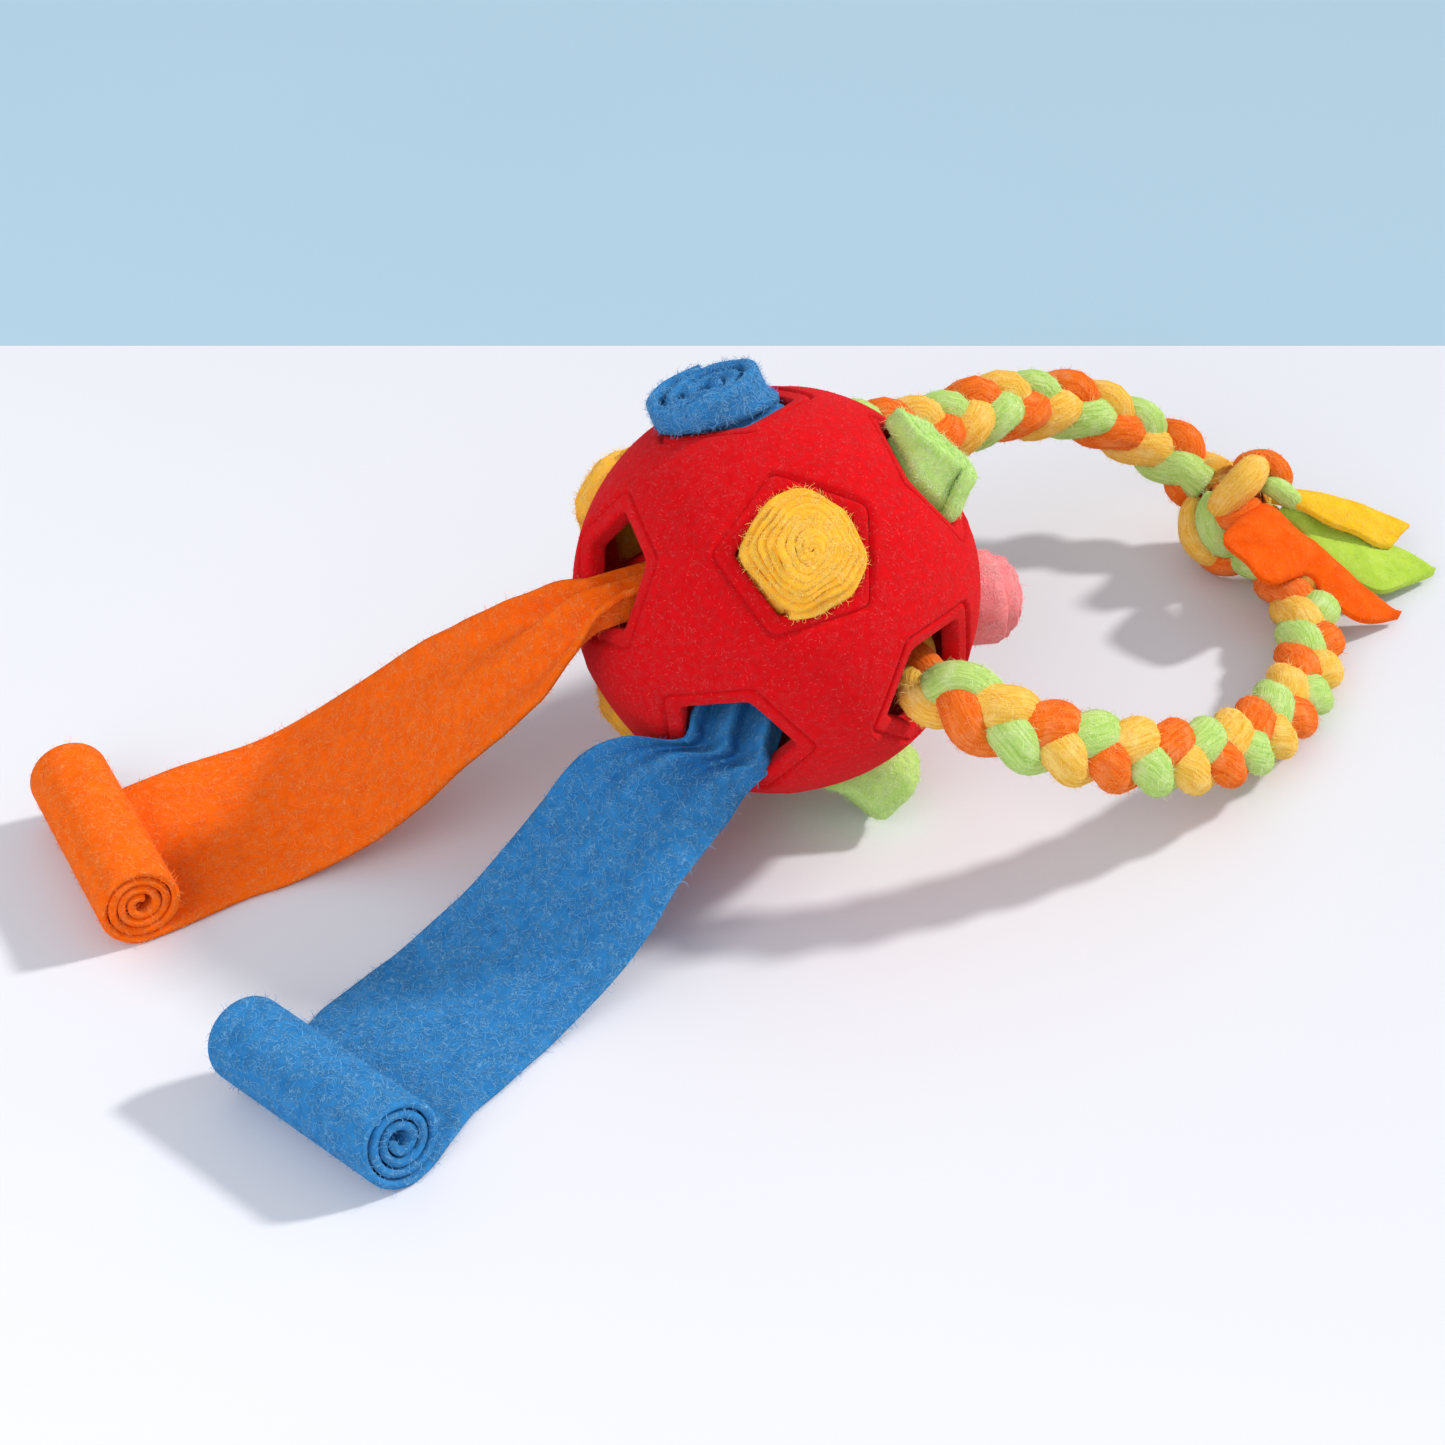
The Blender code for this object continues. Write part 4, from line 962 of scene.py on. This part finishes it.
def make_roll(name, roll):
    axis = AXES[roll["opening"]]
    turn = opening_turn(roll["opening"])
    side = in_plane(Vector(roll["toward"]), axis)
    angle = math.radians(roll["lean"])
    direction = turn.transposed() @ (axis * math.cos(angle) + side * math.sin(angle))
    shift = turn.transposed() @ side * roll["shift"]
    slope = Vector((direction.x, direction.y, 0)) / direction.z
    outer = roll["radius"] - FELT / 2
    turns = (outer - roll["core"]) / roll["pitch"]
    steps = round(turns * TURN_STEPS)
    seed = Vector((len(name) * 3.7, roll["start"] * 5, roll["out"] * 900))
    thickness = roll["thick"]
    heart = turn.transposed() @ in_plane(Vector(roll["heart"]), axis) * Vector(roll["heart"]).length

    def place(spot):
        return BALL_CENTRE + axis * (FACE_DISTANCE + SEAT_GAP) + turn @ spot

    bm = bmesh.new()
    rings = []
    for i in range(steps + 1):
        around = math.tau * turns * i / steps
        spin = around + roll["start"]
        slack = max(0.0, roll["pitch"] - thickness) * (1 - smooth_step(0.0, SLACK_ANGLE, around))
        reach = outer - roll["pitch"] * turns * i / steps - slack
        edge = (reach / outer) ** EDGE_POWER
        compass = Vector((math.cos(spin), math.sin(spin), 0))
        wave = noise.noise(compass * WAVER_SCALE + UP * around * WAVER_RISE + seed)
        wobble = roll["rough"] * wave
        top = roll["out"] * direction.z + roll["crown"] * (1 - (reach / outer) ** 2) - roll["shoulder"] * edge
        rim_wave = noise.noise(compass * RIM_SCALE + UP * around * RIM_RISE + seed)
        top += roll["rough"] * RIM_SHARE * rim_wave
        corner = pentagon_reach(1.0, spin, FREE_SHARPNESS) / FREE_CORNER
        squeeze = pentagon_reach(IN_HOLE_APOTHEM, spin, HOLE_SHARPNESS) / roll["radius"]
        ring = []
        for across, height in roll_section(top, roll["valley"], ROLL_INNER_END * roll["tuck"]):
            settled = smooth_step(*FREE_HEIGHTS, height)
            swell = ROLL_SWELL * edge * math.sin(math.pi * min(1.0, max(0.0, height / top)))
            squared = 1 - roll["square"] * (1 - corner) * settled
            out = (reach + across * thickness) * squared + wobble * settled + swell
            flat = Vector((-math.sin(spin), math.cos(spin), 0)) * out
            flat *= min(1.0, squeeze) * (1 - settled) + settled
            flat += heart * (1 - reach / outer) * settled
            grain = Vector((flat.x * DRIFT_SCALE, flat.y * DRIFT_SCALE, height * DRIFT_SCALE_UP)) + seed
            drift = Vector((noise.noise(grain), noise.noise(grain + DRIFT_STEP), 0))
            flat += drift * roll["stray"] * settled * (1 - EDGE_CALM * edge)
            grow = smooth_step(0.0, SWELL_HEIGHT, height)
            rise = height - grow * flat.dot(slope) * direction.z ** 2
            spot = flat + shift * grow + slope * max(0.0, rise) + UP * rise
            ring.append(bm.verts.new(place(spot)))
        rings.append(ring)
    join_rings(bm, rings)
    add_plug(bm, place, roll["tuck"])
    rest_on_table(bm, ROLL_REST)
    piece = add_piece(f"{name}_felt", bm, [roll["felt"]])
    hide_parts(name)
    outside = FACE_DISTANCE + ROLL_NAP_START
    nap = add_nap(
        piece, count=14000, longest=0.0024, keep=lambda spot: (spot - BALL_CENTRE).dot(axis) > outside
    )
    for item in (piece, nap):
        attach(item, name)


for roll_name, roll_facts in ROLLS.items():
    make_roll(roll_name, roll_facts)


# Pulled-out strips: two more felt strips, drawn out of the ball and laid on the table. Each is gathered in
# pleats where its opening holds it, falls in one curve, and ends in a coil wound toward the ball.
NECK_DROP = 0.0063
PLEAT_DEPTH = 0.0034
NECK_DEPTHS = (0.0175, 0.0110, 0.0045)
STRIP_COLUMNS = 32
STATION_STEPS = 8
COIL_STEPS = 36
COIL_CORE = 0.0016
COIL_WOBBLE = 0.00016
STRIP_RIPPLE = 0.0007
STRIP_RIPPLE_SCALE = 28
EDGE_WAVER = 0.012
SLANT_ONWARD = 0.52
SLANT_UP = 0.855
PLEAT_SHARE = 0.94
STRIP_NAP_START = 0.0010
EDGE_BULGE = 0.3
# Each row of shares: of the way from mouth to coil, sideways, of the mouth's height, of the full width and
# of the full pleats
STRIPS = {
    "orange_strip": {
        "opening": "left", "felt": ORANGE, "slot": "orange_felt", "width": 0.0500, "foot": (-0.1490, -0.0336),
        "turn": 208.6, "radius": 0.0100, "pitch": 0.0021, "pleats": 2.0, "seed": 4.0, "slant": 0.10,
        "shares": (
            (0.00, 0.00, 1.00, 0.34, 1.00),
            (0.055, 0.00, 0.975, 0.46, 0.95),
            (0.12, -0.02, 0.87, 0.64, 0.70),
            (0.20, -0.045, 0.72, 0.75, 0.42),
            (0.28, -0.075, 0.58, 0.79, 0.22),
            (0.36, -0.10, 0.44, 0.83, 0.10),
            (0.45, -0.12, 0.28, 0.90, 0.04),
            (0.55, -0.13, 0.14, 0.94, 0.00),
            (0.65, -0.13, 0.045, 0.97, 0.00),
            (0.76, -0.11, 0.0, 1.00, 0.00),
            (0.88, -0.06, 0.0, 1.00, 0.00),
            (1.00, 0.00, 0.0, 1.00, 0.00),
        ),
    },
    "blue_strip": {
        "opening": "front", "felt": BLUE, "slot": "blue_felt", "width": 0.0445, "foot": (-0.0912, -0.1100),
        "turn": 229.6, "radius": 0.0101, "pitch": 0.0023, "pleats": 2.5, "seed": 11.0, "slant": 0.30,
        "shares": (
            (0.00, 0.00, 1.00, 0.44, 1.00),
            (0.07, -0.045, 0.96, 0.64, 0.85),
            (0.15, -0.060, 0.85, 0.78, 0.50),
            (0.25, -0.065, 0.64, 0.86, 0.24),
            (0.34, -0.065, 0.42, 0.92, 0.10),
            (0.43, -0.07, 0.22, 0.95, 0.03),
            (0.53, -0.075, 0.08, 0.97, 0.00),
            (0.63, -0.07, 0.0, 0.98, 0.00),
            (0.75, -0.05, 0.0, 0.99, 0.00),
            (0.88, -0.03, 0.0, 1.00, 0.00),
            (1.00, 0.00, 0.0, 1.00, 0.00),
        ),
    },
}


def strip_stations(strip):
    """Middle, directions and shape of the strip at each station, inner end first."""
    axis = AXES[strip["opening"]]
    rise = max(corner_directions(strip["opening"]), key=lambda corner: corner.z)
    level = rise.cross(axis)
    mouth = BALL_CENTRE + axis * FACE_DISTANCE - rise * NECK_DROP
    first_share = strip["shares"][0][3]
    stations = []
    for depth in NECK_DEPTHS:
        lift = rise * NECK_DROP * depth / NECK_DEPTHS[0]
        stations.append((mouth - axis * depth + lift, first_share, 1.0, 0.0, 0.0))
    end = TOY + Vector((*strip["foot"], FELT / 2))
    line = Vector((end.x - mouth.x, end.y - mouth.y, 0))
    beside = UP.cross(line)
    for along, off, lift, wide, pleat in strip["shares"]:
        ground = Vector((mouth.x, mouth.y, 0)) + line * along + beside * off
        height = FELT / 2 + (mouth.z - FELT / 2) * lift
        stations.append((ground + UP * height, wide, pleat, min(1.0, along * 4), along))
    return axis, rise, level, mouth, end, stations


def coil_rows(strip, hub, onward, side):
    """The free end's coil, wound from the table up and inward."""
    line_radius = strip["radius"] - FELT / 2
    turns = (line_radius - COIL_CORE) / strip["pitch"]
    steps = round(turns * COIL_STEPS)
    rows = []
    for i in range(1, steps + 1):
        around = math.tau * turns * i / steps
        reach = line_radius - strip["pitch"] * turns * i / steps
        reach += COIL_WOBBLE * noise.noise(Vector((around * 0.8, strip["seed"], 0)))
        outward = onward * math.sin(around) - UP * math.cos(around)
        rows.append([hub + outward * reach, side, -outward, 1.0, 0.0, 2.0])
    return rows


def make_strip(name, strip):
    axis, rise, level, mouth, end, stations = strip_stations(strip)
    angle = math.radians(strip["turn"])
    onward = Vector((math.cos(angle), math.sin(angle), 0))
    side = onward.cross(UP)
    if side.dot(level) < 0:
        side = -side
    path = smooth_path([s[0] for s in stations], STATION_STEPS)
    rows = []
    for i, point in enumerate(path):
        spot = i / STATION_STEPS
        base = min(int(spot), len(stations) - 2)
        mix = smooth_step(0, 1, spot - base) * 0.3 + (spot - base) * 0.7
        wide, pleat, ease, along = (
            stations[base][k] * (1 - mix) + stations[base + 1][k] * mix for k in range(1, 5)
        )
        ahead = path[min(i + 1, len(path) - 1)] - path[max(i - 1, 0)]
        across = level.lerp(side, ease).normalized()
        normal = across.cross(ahead).normalized()
        if normal.dot(rise + UP) < 0:
            normal = -normal
        place = Vector((point.x, point.y, max(point.z, FELT / 2)))
        rows.append([place, in_plane(across, normal), normal, wide, pleat, along])
    hub = end + UP * (strip["radius"] - FELT / 2)
    rows += coil_rows(strip, hub, onward, side)
    cut = -(onward * SLANT_ONWARD + UP * SLANT_UP) * strip["slant"]
    bm = bmesh.new()
    rings = []
    for number, (point, across, normal, wide, pleat, along) in enumerate(rows):
        point = point + across * (point - hub).dot(cut) * smooth_step(0.80, 1.0, along)
        half = strip["width"] * wide / 2
        half *= 1 + EDGE_WAVER * noise.noise(Vector((number * 0.11, strip["seed"], 1.0)))
        upper = []
        lower = []
        for k in range(STRIP_COLUMNS + 1):
            share = k / STRIP_COLUMNS
            wave = PLEAT_DEPTH * PLEAT_SHARE * pleat * math.cos(math.tau * strip["pleats"] * share)
            if along < 1.5 and pleat < 0.5:
                spot = point * STRIP_RIPPLE_SCALE + across * share * 1.3
                ripple = noise.noise(spot + Vector((0, 0, strip["seed"])))
                wave += STRIP_RIPPLE * ripple * (0.5 - pleat) * 2 * smooth_step(0.002, 0.010, point.z)
            place = point + across * half * (2 * share - 1) + normal * wave
            upper.append(bm.verts.new(place + normal * FELT / 2))
            lower.append(bm.verts.new(place - normal * FELT / 2))
        left = bm.verts.new((upper[0].co + lower[0].co) / 2 - across * FELT * EDGE_BULGE)
        right = bm.verts.new((upper[-1].co + lower[-1].co) / 2 + across * FELT * EDGE_BULGE)
        rings.append(upper + [right] + lower[::-1] + [left])
    join_rings(bm, rings)
    rest_on_table(bm, TABLE_GAP)
    piece = add_piece(f"{name}_felt", bm, [strip["felt"]])
    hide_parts(name, f"{name}_neck")
    outside = FACE_DISTANCE + STRIP_NAP_START
    nap = add_nap(
        piece, count=14000, longest=0.0026, keep=lambda spot: (spot - BALL_CENTRE).length > outside
    )
    for item in (piece, nap):
        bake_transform(item)


# Table and backdrop: a plain pale table with matt paint, far larger than the view, and a plain pale blue
# card on it behind the toy. The card lies flat, so that it throws no shade and hides nothing from other
# sides. Both are dull, so they mirror nothing.
def make_ground(name, half, place, finish, tones):
    bm = bmesh.new()
    bmesh.ops.create_grid(bm, x_segments=1, y_segments=1, size=half)
    for vert in bm.verts:
        vert.co += Vector(place)
    material = bpy.data.materials.new(finish)
    material.use_nodes = True
    tree = material.node_tree
    shader = tree.nodes["Principled BSDF"]
    coordinates = add_node(tree, "ShaderNodeTexCoord").outputs["Object"]
    cloud = add_node(
        tree, "ShaderNodeTexNoise", inputs={"Vector": coordinates, "Scale": 3.0, "Detail": 2.0}
    ).outputs[0]
    colour = add_node(
        tree, "ShaderNodeMix", {"data_type": "RGBA"},
        {"Factor": cloud, 6: linear(tones[0]), 7: linear(tones[1])},
    ).outputs[2]
    tree.links.new(colour, shader.inputs["Base Color"])
    shader.inputs["Roughness"].default_value = 0.55
    add_piece(name, bm, [material], smooth=False)


make_ground("floor", 4.0, (0, 0, 0), "pale_table", ("#dcdee5", "#e3e4e9"))
make_ground("backdrop", 2.0, (0, 2.2105, 0.00005), "pale_blue_card", ("#a4c3d5", "#aac7d9"))
for strip_name, strip_facts in STRIPS.items():
    make_strip(strip_name, strip_facts)


# Light: a soft sun from the right and behind, a weak wide lamp in front, and a pale sky all round. The level
# is plain, so that a colour renders about as it is written.
SUN_AZIMUTH = 22
SUN_HEIGHT = 37
FILL_PLACE = Vector((-0.55, -0.9, 0.75))


def add_sun():
    light = bpy.data.lights.new("window_sun", "SUN")
    light.energy = 2.6
    light.angle = math.radians(5.5)
    light.color = (1.0, 0.965, 0.92)
    item = bpy.data.objects.new("window_sun", light)
    azimuth = math.radians(SUN_AZIMUTH)
    toward = Vector((math.cos(azimuth), math.sin(azimuth), math.tan(math.radians(SUN_HEIGHT))))
    item.rotation_euler = toward.to_track_quat("Z", "Y").to_euler()
    bpy.context.scene.collection.objects.link(item)


def add_fill():
    light = bpy.data.lights.new("front_fill", "AREA")
    light.energy = 7.0
    light.size = 0.9
    light.color = (0.95, 0.97, 1.0)
    item = bpy.data.objects.new("front_fill", light)
    item.location = FILL_PLACE
    item.rotation_euler = FILL_PLACE.to_track_quat("Z", "Y").to_euler()
    bpy.context.scene.collection.objects.link(item)


add_sun()
add_fill()
world = bpy.data.worlds.new("pale_sky")
bpy.context.scene.world = world
world.use_nodes = True
background = world.node_tree.nodes["Background"]
background.inputs["Color"].default_value = linear("#eef2f9")
background.inputs["Strength"].default_value = 0.62
bpy.context.scene.view_settings.view_transform = "Standard"
